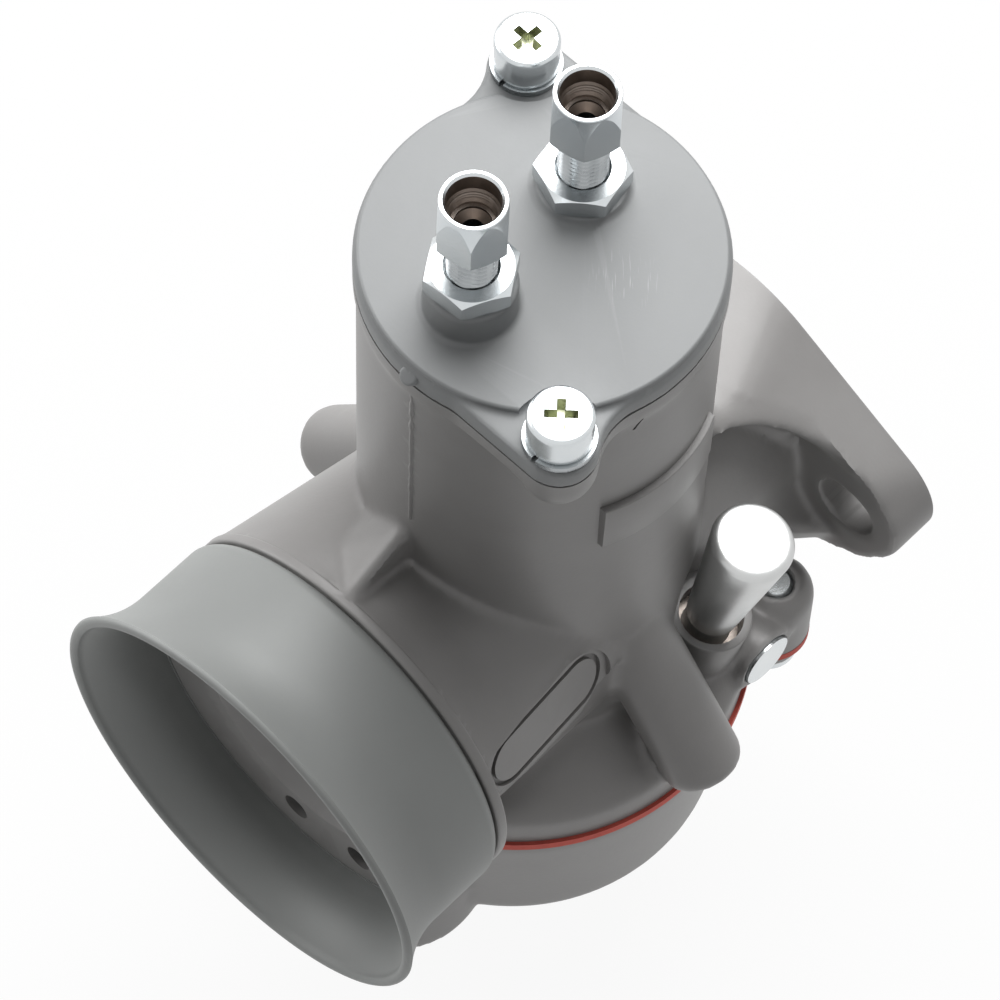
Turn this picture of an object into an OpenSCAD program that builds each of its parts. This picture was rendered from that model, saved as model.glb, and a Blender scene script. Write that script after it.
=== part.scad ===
// Round-slide carburettor with a concentric float bowl, held by a two-stud flange.
// The origin is the centre of the outlet flange face. +X runs along the bore to the
// intake, +Y points to the tickler side and +Z runs up the slide chamber.

/* [Bore and slide chamber] */
// Diameter of the bore through the body
bore_d = 27; // [24:0.5:28]
// Diameter of the round slide chamber
slide_bore_d = 34; // [33:0.5:35]
// Outside diameter of the slide chamber
chamber_d = 42.8; // [42:0.2:45]
// Height of the cover joint above the bore axis
joint_z = 67.4; // [65:0.2:72]
// Distance from the flange face to the chamber axis
chamber_x = 38.5; // [37:0.5:44]
// Lift of the throttle slide and of the air valve
slide_lift = 27; // [20:1:28]

/* [Outlet flange] */
// Distance between the two studs
stud_spacing = 50.8; // [48:0.2:54]
// Diameter of the stud holes
stud_hole_d = 8.4; // [6.6:0.2:9]
// Thickness of the flange ears
flange_t = 7.2; // [6:0.2:9]
// Radius of the flange round the bore
flange_r = 20.5; // [19:0.5:22]
// Radius of the flange ears round the studs
ear_r = 8.6; // [7.5:0.1:9.5]
// Outside radius of the outlet duct
duct_r = 17.8; // [16.5:0.1:18.5]
// Mean radius of the flange seal
flange_seal_r = 17; // [16.5:0.1:17.5]
// Thickness of the flange seal
flange_seal_d = 2; // [1.6:0.1:2.2]

/* [Intake] */
// Distance from the chamber axis to the trumpet joint
seam_x = 32.5; // [31:0.5:36]
// Outside radius of the intake neck
neck_r = 21.2; // [20:0.2:22]
// Radius of the ring that the trumpet seats on
seat_ring_r = 26.3; // [25.8:0.1:26.6]
// Width of the ring that the trumpet seats on
seat_ring_w = 1.6; // [1.2:0.1:2.4]
// Radius of the threaded spigot inside the trumpet
spigot_r = 24.6; // [24:0.1:24.8]
// Length of the threaded spigot
spigot_len = 8; // [6:0.5:9]
// Radius of the trumpet's plain collar
collar_r = 26.7; // [26.7:0.1:28]
// Length of the trumpet
trumpet_len = 18.4; // [17:0.2:24]
// Length of the trumpet's flare
flare_len = 8; // [7:0.2:9]
// Radius of the trumpet's rim
rim_r = 29.5; // [28.6:0.1:32]
// Radius of the trumpet's back corner
collar_corner_r = 1.8; // [0.6:0.1:2]
// Thickness of the trumpet's wall at the rim
rim_t = 1.5; // [1.2:0.1:1.8]
// Radius of the two air holes in the intake face
air_hole_r = 1.9; // [1.2:0.1:2.2]

/* [Top cover] */
// Thickness of the cover plate
cover_t = 3; // [2.4:0.1:4]
// Radius of the cover plate
cover_r = 21.8; // [21.6:0.1:23]
// Height of the raised disc on the cover
disc_h = 1; // [0.6:0.1:1.6]
// Radius of the raised disc on the cover
disc_r = 21.3; // [20.5:0.1:21.5]
// Distance of the near cover screw from the chamber axis
near_screw_r = 24.4; // [23.8:0.1:25.6]
// Distance of the far cover screw from the chamber axis
far_screw_r = 25.3; // [23.8:0.1:25.6]
// Angle of the cover screws from the bore axis
cover_screw_angle = 48; // [44:1:52]
// Radius of the cover ears
cover_ear_r = 4.65; // [4.5:0.05:5.2]
// Radius of the hollow between ear and disc
cover_hollow_r = 8.5; // [6:0.5:10]
// Height of the ear bosses below the joint
ear_boss_h = 7.4; // [5:0.2:10]
// Depth of the spigot that centres the cover
cover_spigot_h = 2.5; // [1.5:0.1:4]

/* [Cable adjusters] */
// Choke adjuster's place along the bore
choke_x = 11; // [10:0.1:11.6]
// Throttle adjuster's place along the bore
throttle_x = -9.3; // [-9.6:0.1:-8]
// Sideways place of the choke adjuster
choke_y = -0.9; // [-1.4:0.1:0.6]
// Sideways place of the throttle adjuster
throttle_y = -2.7; // [-3:0.1:0]
// Height of the choke adjuster's boss above the disc
choke_boss_h = 5.3; // [3:0.1:7]
// Height of the throttle adjuster's pad above the disc
throttle_boss_h = 0.9; // [0.5:0.1:3]
// Radius of the adjuster bosses
adjuster_boss_r = 5.5; // [5.2:0.1:6.2]
// Radius of the adjuster threads
adjuster_thread_r = 3; // [2.7:0.05:3.1]
// Distance across the flats of the adjusters
adjuster_af = 7.9; // [7.4:0.1:8.4]
// Length of the hexagon on the adjusters
adjuster_hex_h = 4.8; // [4:0.1:6]
// Length of an adjuster's head
adjuster_head_h = 8; // [7:0.1:10]
// Radius of the cable socket in the adjusters
cable_socket_r = 3.2; // [2.6:0.05:3.3]
// Depth of the cable socket in the adjusters
cable_socket_depth = 5; // [4:0.1:6]
// Length of bare thread above the choke locknut
choke_thread_h = 6; // [3:0.1:9]
// Length of bare thread above the throttle locknut
throttle_thread_h = 7.6; // [3:0.1:9]
// Distance across the flats of the locknuts
locknut_af = 10; // [9:0.1:11]
// Thickness of the locknuts
locknut_h = 3.1; // [2.4:0.1:4]

/* [Screws] */
// Radius of the cover and bowl screws
screw_r = 2.2; // [1.8:0.1:2.3]
// Radius of the screw heads
screw_head_r = 3.9; // [3.6:0.1:4]
// Height of the screw heads
screw_head_h = 5; // [3:0.1:5.6]
// Height of the bowl screws' low heads
low_head_h = 2.4; // [2.2:0.1:3.4]
// Thickness of the spring washers
washer_t = 0.9; // [0.6:0.1:1.2]
// Width of the cross recess's arms
recess_w = 1.1; // [0.8:0.1:1.4]
// Length of the cross recess's arms, end to end
recess_len = 4.6; // [3.6:0.1:5]
// Depth of the cross recess
recess_depth = 1.6; // [1.2:0.1:1.8]

/* [Float bowl] */
// Height of the bowl joint below the bore axis
bowl_joint_z = -22.2; // [-24:0.1:-22]
// Offset of the bowl joint from the chamber axis towards the intake
bowl_x = 1.6; // [0.6:0.1:2]
// Radius of the bowl joint
bowl_r = 30.4; // [30:0.1:31.4]
// Overhang of the gasket round the bowl joint
gasket_lip = 0.5; // [0:0.1:0.8]
// Thickness of the gasket
gasket_t = 1.4; // [0.8:0.1:1.8]
// Depth of the float bowl below the gasket
bowl_depth = 27.8; // [26:0.1:30]
// Thickness of the bowl's wall
bowl_wall = 2.4; // [2:0.1:2.8]
// Thickness of the bowl's floor
bowl_floor_t = 2.6; // [2.4:0.1:3.2]
// Inward lean of the bowl's wall from rim to base
bowl_draft = 2.4; // [1:0.1:2.8]
// Radius of the bowl's lower corner
bowl_corner_r = 4.5; // [3.5:0.5:7]
// Height of the body's rim above the bowl joint
rim_band_h = 5; // [4:0.2:5.6]
// Distance of the bowl screws outside the bowl joint
lug_reach = 2.7; // [2.2:0.1:3.6]
// Angle of the bowl screws from the bore axis
lug_angle = 136; // [133:1:139]
// Radius of the bowl screw lugs
lug_r = 5.1; // [4.8:0.1:5.6]
// Height of the lugs on the body
body_lug_h = 11.6; // [9:0.2:12.4]
// Height of the lugs on the bowl
bowl_lug_h = 2.8; // [2.4:0.1:6]
// Radius of the fuel inlet boss
inlet_boss_r = 12; // [11:0.2:12.4]
// Height of the fuel inlet boss
inlet_boss_h = 15; // [12:0.5:18]

/* [Jets and float] */
// Radius of the jet needle
needle_r = 1.25; // [1:0.05:1.3]
// Radius of the needle jet
needle_jet_r = 3; // [2.6:0.1:3.2]
// Radius of the jet holder's thread
jet_thread_r = 4.5; // [4.2:0.1:5]
// Gap between the float and the bowl's wall
float_gap = 1; // [0.8:0.1:3]
// Height of the float
float_h = 11; // [9:0.5:11.5]
// Distance of the float spindle from the chamber axis
spindle_x = 17.5; // [17:0.1:18]
// Radius of the float spindle
spindle_r = 1; // [0.8:0.05:1.1]
// Distance from the float spindle to the float needle
needle_arm = 4.5; // [4.2:0.1:4.8]

/* [Tickler] */
// Angle of the tickler from the bore axis
tickler_angle = 115; // [110:1:117]
// Distance of the tickler boss's top from the chamber axis
tickler_r = 23.8; // [23:0.1:24.4]
// Height of the tickler boss's top
tickler_z = -8.5; // [-10:0.1:-7]
// Outward tilt of the tickler
tickler_tilt = 10.6; // [6:0.2:12]
// Length of the button above its boss
tickler_len = 27; // [18:0.2:28]
// Radius of the button's top
tickler_top_r = 5.1; // [4.4:0.1:5.6]
// Radius of the button's shank
tickler_shank_r = 3.2; // [2.8:0.1:3.3]
// Radius of the tickler boss
tickler_boss_r = 5.3; // [5:0.1:5.8]
// Height of the boss's collar above the guide's seat
tickler_collar = 4.2; // [3:0.1:4.4]
// Travel of the button
tickler_stroke = 3.5; // [2.5:0.1:3.6]

/* [Side bosses] */
// Radius of the two blank bosses
stub_r = 5.3; // [4.8:0.1:5.6]
// Reach of the blank bosses' ends past the bowl joint
stub_reach = 3; // [2:0.1:3.6]
// Slope of the blank bosses, down and out from the chamber
stub_slope = 52; // [46:1:56]
// Distance of the plugged boss's face past the tickler's axis
plug_reach = 7.2; // [6.6:0.1:8.4]
// Depth of the air screw's boss inside the bowl joint
air_inset = 1.6; // [0.4:0.1:2]
// Radius of the passage plug
plug_r = 3.7; // [3:0.1:3.8]
// Radius of the plugged boss
plug_boss_r = 4.5; // [4.4:0.1:5]
// Radius of the stop screw's thread
stop_screw_r = 2.5; // [2.2:0.1:2.6]
// Radius of the pilot air screw's thread
air_screw_r = 2; // [1.6:0.1:2.1]

/* [Clearances] */
// Radial clearance of a running fit
run = 0.05; // [0.03:0.01:0.08]
// Clearance round the screws in their holes
screw_gap = 0.15; // [0.1:0.01:0.25]
// Gap between loose neighbours
gap = 0.3; // [0.25:0.01:0.4]

/* [Hidden] */
$fn = 64;
eps = 0.01;
blend = 0.03;
far = 200;
bore_r = bore_d / 2;
slide_bore_r = slide_bore_d / 2;
chamber_r = chamber_d / 2;
flange_x = -chamber_x;
ear_face_x = flange_x + flange_t;
stud_y = stud_spacing / 2;
intake_face_x = seam_x + spigot_len;
rim_x = seam_x + trumpet_len;
cover_top_z = joint_z + cover_t;
disc_top_z = cover_top_z + disc_h;
spigot_z = joint_z - cover_spigot_h;
screw_way = [cos(cover_screw_angle), sin(cover_screw_angle)];
screw_places = [near_screw_r * screw_way, -far_screw_r * screw_way];
choke_seat_z = disc_top_z + choke_boss_h;
throttle_seat_z = disc_top_z + throttle_boss_h;
gasket_z = bowl_joint_z - gasket_t;
bowl_base_z = gasket_z - bowl_depth;
bowl_floor_z = bowl_base_z + bowl_floor_t;
bowl_in_r = bowl_r - bowl_wall;
slide_base_z = -bore_r + gap;
slide_floor_t = 6.2;
slide_floor_z = slide_base_z + slide_floor_t;
slide_h = 35;
slot_x = 6.8;
slot_half_w = 6;
air_valve_h = 28;
air_valve_top_z = slide_base_z + air_valve_h;
lift_room = 1.5;
band_z = bowl_joint_z + rim_band_h;
skirt_z = band_z + 6.7;
lug_pcr = bowl_r + lug_reach;
stub_y = bowl_r + stub_reach;
plug_face_y = tickler_r * sin(tickler_angle) + plug_reach;
air_face_y = bowl_r - air_inset;
lug_c = lug_pcr * [cos(lug_angle), sin(lug_angle)];
inlet_c = [27, 3.5];
union_c = [26, -4];
inlet_base_z = bowl_base_z - 0.6;
needle_x = spindle_x + needle_arm;
pivot_z = gasket_z - 4.2;
float_top_z = pivot_z - 2.5;
float_z = float_top_z - float_h;
recess_z = bowl_joint_z + 3.6;
jet_boss_r = 8;
jet_boss_z = bowl_joint_z - 2.8;
jet_thread_z = jet_boss_z + 7.6;
plug_x = -15;
plug_t = 2.6;
plug_z = bowl_joint_z + 6.7;
stub_x = 1.4;
stub_z = bowl_joint_z + 6;
stub_len = (stub_y - slide_bore_r) / cos(stub_slope);
stop_x = -12;
stop_tilt = 35;
stop_start_y = sqrt(pow(slide_bore_r, 2) - pow(stop_x, 2)) + stop_screw_r * 0.2 + gap;
stop_start_z = -10;
stop_boss_len = 18;
air_screw_depth = 10;
guide_r = 2.2;
spring_r = 7.8;
spring_wire = 1.2;
spring_x = slot_x - spring_wire - spring_r - 2;
float_r = bowl_in_r - bowl_draft - float_gap;
float_in_r = 9.8;
post_y = 7;
post_t = 2.5;
seat_z = bowl_floor_z + 3.2;
fuel_way_z = bowl_floor_z - 1.3;
drain_boss_r = 9.5;
drain_boss_z = bowl_base_z - 1.4;
drain_thread_r = 6;
drain_af = 14;
drain_head_h = 6;
union_r = 7.5;
union_h = 9;
union_z = inlet_base_z - 1 - union_h;
union_thread_r = 3;
union_bolt_af = 12;
union_bolt_head_h = 5;
hose_r = 3.5;
hose_len = 16;
tickler_guide_r = 4.2;
tickler_guide_len = 11;
tickler_lip = 0.8;
tickler_room_r = tickler_boss_r + 0.7;
tickler_room_z = 14;
tickler_stem_r = 1.5;
tickler_spring_z = -3;
tickler_tip = (gasket_z + 1.1 - tickler_z) / cos(tickler_tilt);

// Shapes used by more than one piece

// Moves a piece from the chamber's own axes to the part's frame.
module in_frame() {
    translate([chamber_x, 0, 0]) children();
}

// A round bar along the bore axis.
module rod_x(r, x0, x1) {
    translate([x0, 0, 0]) rotate([0, 90, 0]) cylinder(r = r, h = x1 - x0);
}

// A round bar along Y.
module rod_y(r, y0, y1) {
    translate([0, y0, 0]) rotate([-90, 0, 0]) cylinder(r = r, h = y1 - y0);
}

// A round bar along Z.
module rod_z(r, z0, z1) {
    translate([0, 0, z0]) cylinder(r = r, h = z1 - z0);
}

// A hexagonal bar along Z with a corner on its own X axis.
module hex_z(af, z0, z1) {
    translate([0, 0, z0]) cylinder(r = af / 2 / cos(30), h = z1 - z0, $fn = 6);
}

// A flat drawing in X and Z, drawn out along Y about the centre plane.
module across(width) {
    rotate([90, 0, 0]) linear_extrude(width, center = true) children();
}

// Two copies, one turned half a turn about the chamber axis.
module pair() {
    children();
    rotate([0, 0, 180]) children();
}

// A ring of round section about Z.
module ring(mean_r, section_r) {
    rotate_extrude() translate([mean_r, 0]) circle(r = section_r);
}

// Points of an arc.
function arc(c, r, a0, a1, n = 6) =
    [for (i = [0 : n]) c + r * [cos(a0 + (a1 - a0) * i / n), sin(a0 + (a1 - a0) * i / n)]];

// The tickler's own axes: Z runs up the button from the top of its boss.
module tickler_frame() {
    rotate([0, 0, tickler_angle]) translate([tickler_r, 0, tickler_z])
        rotate([0, tickler_tilt, 0]) children();
}

// The stop screw's own axes: Z runs out of the body from the slide.
module stop_frame() {
    translate([stop_x, -stop_start_y, stop_start_z]) rotate([90 - stop_tilt, 0, 0]) children();
}

// The pilot air screw's own axes: Z runs out of the body from the boss face.
module air_screw_frame() {
    translate([plug_x, -air_face_y, plug_z]) rotate([90, 0, 0]) children();
}

// A post with a rounded top edge.
module round_post(r, h, edge) {
    rotate_extrude() polygon(concat([[0, 0], [r, 0]], arc([r - edge, h - edge], edge, 0, 90), [[0, h]]));
}

// Outline of one ear of the cover plate, in the direction of +X and +Y.
module cover_ear(screw_r_out) {
    a = cover_screw_angle;
    c = screw_r_out * screw_way;
    reach = cover_r + cover_hollow_r - blend;
    side = cover_ear_r + cover_hollow_r - blend;
    turn = acos((pow(reach, 2) + pow(screw_r_out, 2) - pow(side, 2)) / (2 * reach * screw_r_out));
    hollow_c = reach * [cos(a + turn), sin(a + turn)];
    flank_x = c[0] + cover_ear_r - blend;
    flank_y = sqrt(max(pow(cover_r, 2) - pow(flank_x, 2), 1));
    translate(c) circle(r = cover_ear_r);
    polygon([[0, 0], [min(flank_x, cover_r), flank_y], [flank_x, c[1]], c]);
    difference() {
        polygon([[0, 0], c, c + cover_ear_r / side * (hollow_c - c), hollow_c, hollow_c * cover_r / reach]);
        translate(hollow_c) circle(r = cover_hollow_r);
    }
}

// Outline of the cover plate: a disc with two ears.
module cover_outline() {
    circle(r = cover_r);
    cover_ear(near_screw_r);
    rotate([0, 0, 180]) cover_ear(far_screw_r);
}

// Copies at the two cover screws.
module at_cover_screws() {
    for (p = screw_places)
        translate(p) children();
}

// Outline of the flange: a round middle drawn out to two ears.
module flange_outline() {
    s = (flange_r - ear_r) / stud_y;
    c = sqrt(1 - s * s);
    circle(r = flange_r);
    for (m = [-1, 1]) {
        translate([m * stud_y, 0]) circle(r = ear_r);
        polygon([[m * flange_r * s, flange_r * c], [m * (stud_y + ear_r * s), ear_r * c],
            [m * (stud_y + ear_r * s), -ear_r * c], [m * flange_r * s, -flange_r * c]]);
    }
}

// The bowl's own axes.
module bowl_frame() {
    translate([bowl_x, 0, 0]) children();
}

// Outline of the bowl joint about the bowl's axis: a disc with two screw lugs.
module bowl_outline(r, lug) {
    circle(r = r);
    pair() rotate([0, 0, lug_angle]) {
        translate([lug_pcr, 0]) circle(r = lug);
        translate([0, -lug + blend]) square([lug_pcr, 2 * (lug - blend)]);
    }
}

// Room for the trumpet and its seat ring beside the bowl joint.
module trumpet_room() {
    rod_x(collar_r + gap, seam_x - seat_ring_w - gap, rim_x);
}

// A wire coil from z0 to z1, one unbroken tube with six flats.
function coil_point(r, z0, z1, turns, i, n) =
    [r * cos(360 * turns * i / n), r * sin(360 * turns * i / n), z0 + (z1 - z0) * i / n];
module coil(mean_r, wire_d, z0, z1, turns, label) {
    rings = 10;
    sides = 6;
    n = rings * turns;
    low = z0 + wire_d / 2;
    high = z1 - wire_d / 2;
    slope = atan2((high - low) / turns, 2 * PI * mean_r);
    points = [for (i = [0 : n]) let (c = coil_point(mean_r, low, high, turns, i, n), a = 360 * turns * i / n)
        for (k = [0 : sides - 1]) let (u = cos(360 * k / sides), v = sin(360 * k / sides))
            c + wire_d / 2 * [u * cos(a) + v * sin(slope) * sin(a),
                u * sin(a) - v * sin(slope) * cos(a), v * cos(slope)]];
    walls = [for (i = [0 : n - 1], k = [0 : sides - 1])
        let (a = i * sides + k, b = i * sides + (k + 1) % sides)
            each [[a, b, b + sides], [a, b + sides, a + sides]]];
    ends = [for (k = [1 : sides - 2]) each [[0, k + 1, k], [n * sides, n * sides + k, n * sides + k + 1]]];
    gaps = [for (i = [0 : n - rings]) norm(coil_point(mean_r, low, high, turns, i + rings, n)
        - coil_point(mean_r, low, high, turns, i, n)) - wire_d];
    echo(str(label, ": least gap between turns ", min(gaps)));
    polyhedron(points = points, faces = concat(walls, ends));
}

// A screw with a round head and a cross recess, head seat at z = 0, thread downwards.
module cross_screw(head_h, thread_len) {
    difference() {
        union() {
            rotate_extrude() polygon(concat([[0, 0], [screw_head_r, 0]],
                arc([screw_head_r - 1.2, head_h - 1.2], 1.2, 0, 90), [[0, head_h]]));
            rod_z(screw_r, -thread_len, eps);
        }
        for (a = [0, 90])
            rotate([0, 0, a]) translate([-recess_len / 2, -recess_w / 2, head_h - recess_depth])
                cube([recess_len, recess_w, recess_depth + eps]);
    }
}

// A split spring washer lying on z = 0.
module spring_washer() {
    difference() {
        rod_z(screw_head_r + 0.4, 0, washer_t);
        rod_z(screw_r + gap, -eps, washer_t + eps);
        translate([0, -0.3, -eps]) cube([screw_head_r + 1, 0.6, washer_t + 2 * eps]);
    }
}

// Die-cast body

// Roof between the chamber and the flange, with the pockets for the stud nuts.
module outlet_horn() {
    horn_z = 19.5;
    pocket_y = 10;
    pocket_r = 19;
    pocket_c = [ear_face_x + 16.8, horn_z + 0.1 - pocket_r];
    fillet_w = 8;
    fillet_len = 9;
    difference() {
        hull() {
            rod_z(chamber_r - 0.2, -horn_z, horn_z, $fn = 48);
            translate([flange_x, 0, 0]) rotate([90, 0, 90])
                linear_extrude(flange_t) flange_outline($fn = 48);
        }
        difference() {
            across(2 * far) polygon(concat([[ear_face_x, -far]],
                arc(pocket_c, pocket_r, 180 - acos((pocket_c[0] - ear_face_x) / pocket_r), 90, 10),
                [[chamber_r, pocket_c[1] + pocket_r], [chamber_r, -far]]));
            cube([2 * far, 2 * pocket_y, 2 * far], center = true);
        }
    }
    rod_x(duct_r, flange_x, 0);
    difference() {
        intersection() {
            translate([ear_face_x - eps, 0, 0]) rotate([0, 90, 0])
                cylinder(r1 = duct_r + fillet_w, r2 = duct_r, h = fillet_len);
            translate([flange_x, 0, 0]) rotate([90, 0, 90])
                linear_extrude(flange_t + fillet_len) flange_outline();
        }
        for (m = [-1, 1])
            translate([0, m * stud_y, 0]) rod_x(ear_r - 1, ear_face_x, 0);
        translate([ear_face_x, -far, 0]) cube([chamber_x, 2 * far, far]);
    }
    translate([flange_x, 0, 0]) rotate([90, 0, 90]) linear_extrude(flange_t) flange_outline();
}

// Intake neck with its seat ring, spigot and the built-up ridge on one half.
module intake_neck() {
    ridge_z = seat_ring_r - 0.2;
    rod_x(neck_r, 0, seam_x);
    rod_x(seat_ring_r, seam_x - seat_ring_w, seam_x);
    rod_x(spigot_r, seam_x - eps, intake_face_x);
    intersection() {
        hull() {
            rod_x(neck_r, chamber_r / 2, seam_x - seat_ring_w / 2, $fn = 48);
            translate([0, -0.6, 0]) across(1.2) polygon([[chamber_r - 3, 0],
                [chamber_r - 3, ridge_z + 5.5], [chamber_r, ridge_z + 5],
                [seam_x - seat_ring_w / 2, ridge_z], [seam_x - seat_ring_w / 2, 0]]);
        }
        translate([0, -far, -far]) cube([far, far, 2 * far]);
    }
}

// Blank oval pad on the side of the neck.
module neck_pad() {
    pad_half_len = 9.7;
    pad_half_h = 4.8;
    pad_face = 24;
    pad_mid_x = 19.5;
    rotate([20, 0, 0]) translate([pad_mid_x, pad_face - 7, 0]) rotate([-90, 0, 0]) linear_extrude(7) {
        square([2 * (pad_half_len - pad_half_h), 2 * pad_half_h], center = true);
        for (m = [-1, 1])
            translate([m * (pad_half_len - pad_half_h), 0]) circle(r = pad_half_h);
    }
}

// Roof of the float chamber with its two screw lugs, faced off at the bowl joint.
module bowl_seat() {
    stock = 1;
    web_x = chamber_r - 4;
    base_z = bowl_joint_z - stock;
    difference() {
        union() {
            rotate_extrude() polygon([[0, base_z], [bowl_r, base_z], [bowl_r, band_z],
                [bowl_r - 1.5, band_z + 1.6], [chamber_r - 1.5, skirt_z], [0, skirt_z]]);
            pair() translate([lug_c[0], lug_c[1], base_z]) round_post(lug_r, body_lug_h + stock, 3);
            pair() rotate([0, 0, lug_angle]) translate([web_x, -lug_r + blend, base_z])
                cube([lug_pcr - web_x, 2 * (lug_r - blend), rim_band_h + stock + 1]);
        }
        translate([0, 0, bowl_joint_z - far]) cube(2 * far, center = true);
    }
}

module mixing_chamber_body() {
    ear_z = joint_z - ear_boss_h + cover_ear_r;
    recess_r = bowl_in_r - 1;
    plate_mid = 90.5;
    plate_sweep = 52;
    plate_z = 38;
    plate_h = 8.2;
    plate_t = 0.7;
    chamfer = 2;
    color("silver") in_frame() difference() {
        union() {
            rod_z(chamber_r, bowl_joint_z + 1, joint_z);
            translate([0, 0, ear_z]) linear_extrude(joint_z - ear_z) cover_outline();
            at_cover_screws() translate([0, 0, ear_z]) sphere(r = cover_ear_r);
            rotate([0, 0, plate_mid - plate_sweep / 2]) rotate_extrude(angle = plate_sweep)
                translate([chamber_r - 1, plate_z]) square([plate_t + 1, plate_h]);
            outlet_horn();
            intake_neck();
            neck_pad();
            bowl_frame() bowl_seat();
            for (m = [-1, 1])
                translate([stub_x, m * stub_y, stub_z]) rotate([-m * (90 + stub_slope), 0, 0])
                    translate([0, 0, -stub_len]) round_post(stub_r, stub_len, 1.8);
            tickler_frame() rod_z(tickler_boss_r, -12, tickler_collar);
            translate([plug_x, 0, plug_z]) rod_y(plug_boss_r, -air_face_y, plug_face_y);
            stop_frame() rod_z(stop_screw_r + 2, 2, stop_boss_len);
            rod_z(jet_boss_r, jet_boss_z, bowl_joint_z + 1);
        }
        translate([0, 0, joint_z + far]) cube(2 * far, center = true);
        rod_x(bore_r, flange_x - eps, intake_face_x + eps);
        rod_z(slide_bore_r, -bore_r, joint_z + eps);
        translate([intake_face_x - chamfer, 0, 0]) rotate([0, 90, 0])
            cylinder(r1 = bore_r, r2 = bore_r + chamfer, h = chamfer + eps);
        for (p = [[-1, -18.8], [10, -17.6]])
            translate([0, p[0], p[1]]) rod_x(air_hole_r, chamber_r + 2, intake_face_x + eps);
        for (m = [-1, 1])
            translate([0, m * stud_y, 0]) rod_x(stud_hole_d / 2, flange_x - eps, ear_face_x + 3);
        translate([flange_x - eps, 0, 0]) rotate([0, 90, 0]) difference() {
            rod_z(flange_seal_r + flange_seal_d / 2 + gap, 0, flange_seal_d + 0.1);
            rod_z(flange_seal_r - flange_seal_d / 2 - gap, -eps, flange_seal_d + 1);
        }
        difference() {
            bowl_frame() rod_z(recess_r, bowl_joint_z - eps, recess_z);
            rod_z(jet_boss_r + 2, bowl_joint_z - 1, recess_z + eps);
        }
        rod_z(jet_thread_r + run, jet_boss_z - eps, jet_thread_z + gap);
        rod_z(needle_jet_r + run, jet_thread_z, -bore_r + eps);
        translate([0, -13, 0]) rod_z(2 + run, recess_z - eps, recess_z + 4);
        at_cover_screws() rod_z(screw_r + screw_gap, joint_z - 6.4, joint_z + eps);
        bowl_frame() pair() translate(lug_c)
            rod_z(screw_r + screw_gap, bowl_joint_z - eps, bowl_joint_z + body_lug_h + eps);
        tickler_frame() rod_z(tickler_guide_r + run, -tickler_guide_len - 0.2, tickler_collar + eps);
        tickler_frame() rod_z(tickler_guide_r - 0.8, -tickler_guide_len - 8, -tickler_guide_len);
        tickler_frame() rod_z(tickler_room_r, tickler_collar, tickler_room_z);
        translate([plug_x, 0, plug_z]) rod_y(plug_r + run, plug_face_y - plug_t, plug_face_y + far);
        air_screw_frame() rod_z(air_screw_r + run, -air_screw_depth, eps);
        air_screw_frame() rod_z(air_screw_r + 1.1, -1.8, eps);
        stop_frame() rod_z(stop_screw_r + run, -3, stop_boss_len + eps);
        stop_frame() rod_z(stop_screw_r + 1.1, stop_boss_len - 1.8, stop_boss_len + eps);
    }
}

// Intake trumpet, screwed on the body's spigot.
module intake_trumpet() {
    wall_r = spigot_r + 0.4;
    flare_x = rim_x - flare_len;
    rise = rim_r - collar_r;
    bend = (pow(flare_len, 2) + pow(rise, 2)) / (2 * rise);
    sweep = asin(flare_len / bend);
    outer = arc([collar_r + bend, flare_x], bend, 180, 180 - sweep, 8);
    inner_rise = rim_r - rim_t - wall_r;
    inner_bend = (pow(flare_len, 2) + pow(inner_rise, 2)) / (2 * inner_rise);
    inner_sweep = asin(flare_len / inner_bend);
    inner = arc([wall_r + inner_bend, flare_x], inner_bend, 180 - inner_sweep, 180, 8);
    color("gainsboro") in_frame() rotate([0, 90, 0]) rotate_extrude()
        polygon(concat([[spigot_r + run, seam_x]],
            arc([collar_r - collar_corner_r, seam_x + collar_corner_r], collar_corner_r, -90, 0), outer,
            arc([rim_r - rim_t / 2, rim_x], rim_t / 2, 0, 180, 6), inner,
            [[wall_r, intake_face_x], [spigot_r + run, intake_face_x]]));
}

// Top cover and cable adjusters

module top_cover() {
    color("silver") in_frame() difference() {
        union() {
            translate([0, 0, joint_z]) linear_extrude(cover_t) cover_outline();
            rod_z(slide_bore_r - run, spigot_z, joint_z + eps);
            difference() {
                rod_z(disc_r, cover_top_z - eps, disc_top_z);
                at_cover_screws() rod_z(screw_head_r + 1.7, cover_top_z, disc_top_z + eps);
            }
            translate([choke_x, choke_y, 0]) rod_z(adjuster_boss_r, cover_top_z, choke_seat_z);
            translate([throttle_x, throttle_y, 0]) rod_z(adjuster_boss_r, cover_top_z, throttle_seat_z);
        }
        at_cover_screws() rod_z(screw_r + screw_gap, joint_z - eps, disc_top_z + eps);
        translate([choke_x, choke_y, 0]) {
            rod_z(adjuster_thread_r + run, joint_z, choke_seat_z + eps);
            rod_z(guide_r + run, spigot_z - eps, joint_z + eps);
        }
        translate([throttle_x, throttle_y, 0])
            rod_z(adjuster_thread_r + run, spigot_z - eps, throttle_seat_z + eps);
    }
}

module cover_screws() {
    color("gainsboro") in_frame() at_cover_screws() translate([0, 0, cover_top_z + washer_t])
        rotate([0, 0, 20]) cross_screw(screw_head_h, cover_t + washer_t + 5.6);
}

module cover_screw_washers() {
    color("lightgray") in_frame() at_cover_screws() translate([0, 0, cover_top_z]) spring_washer();
}

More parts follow.
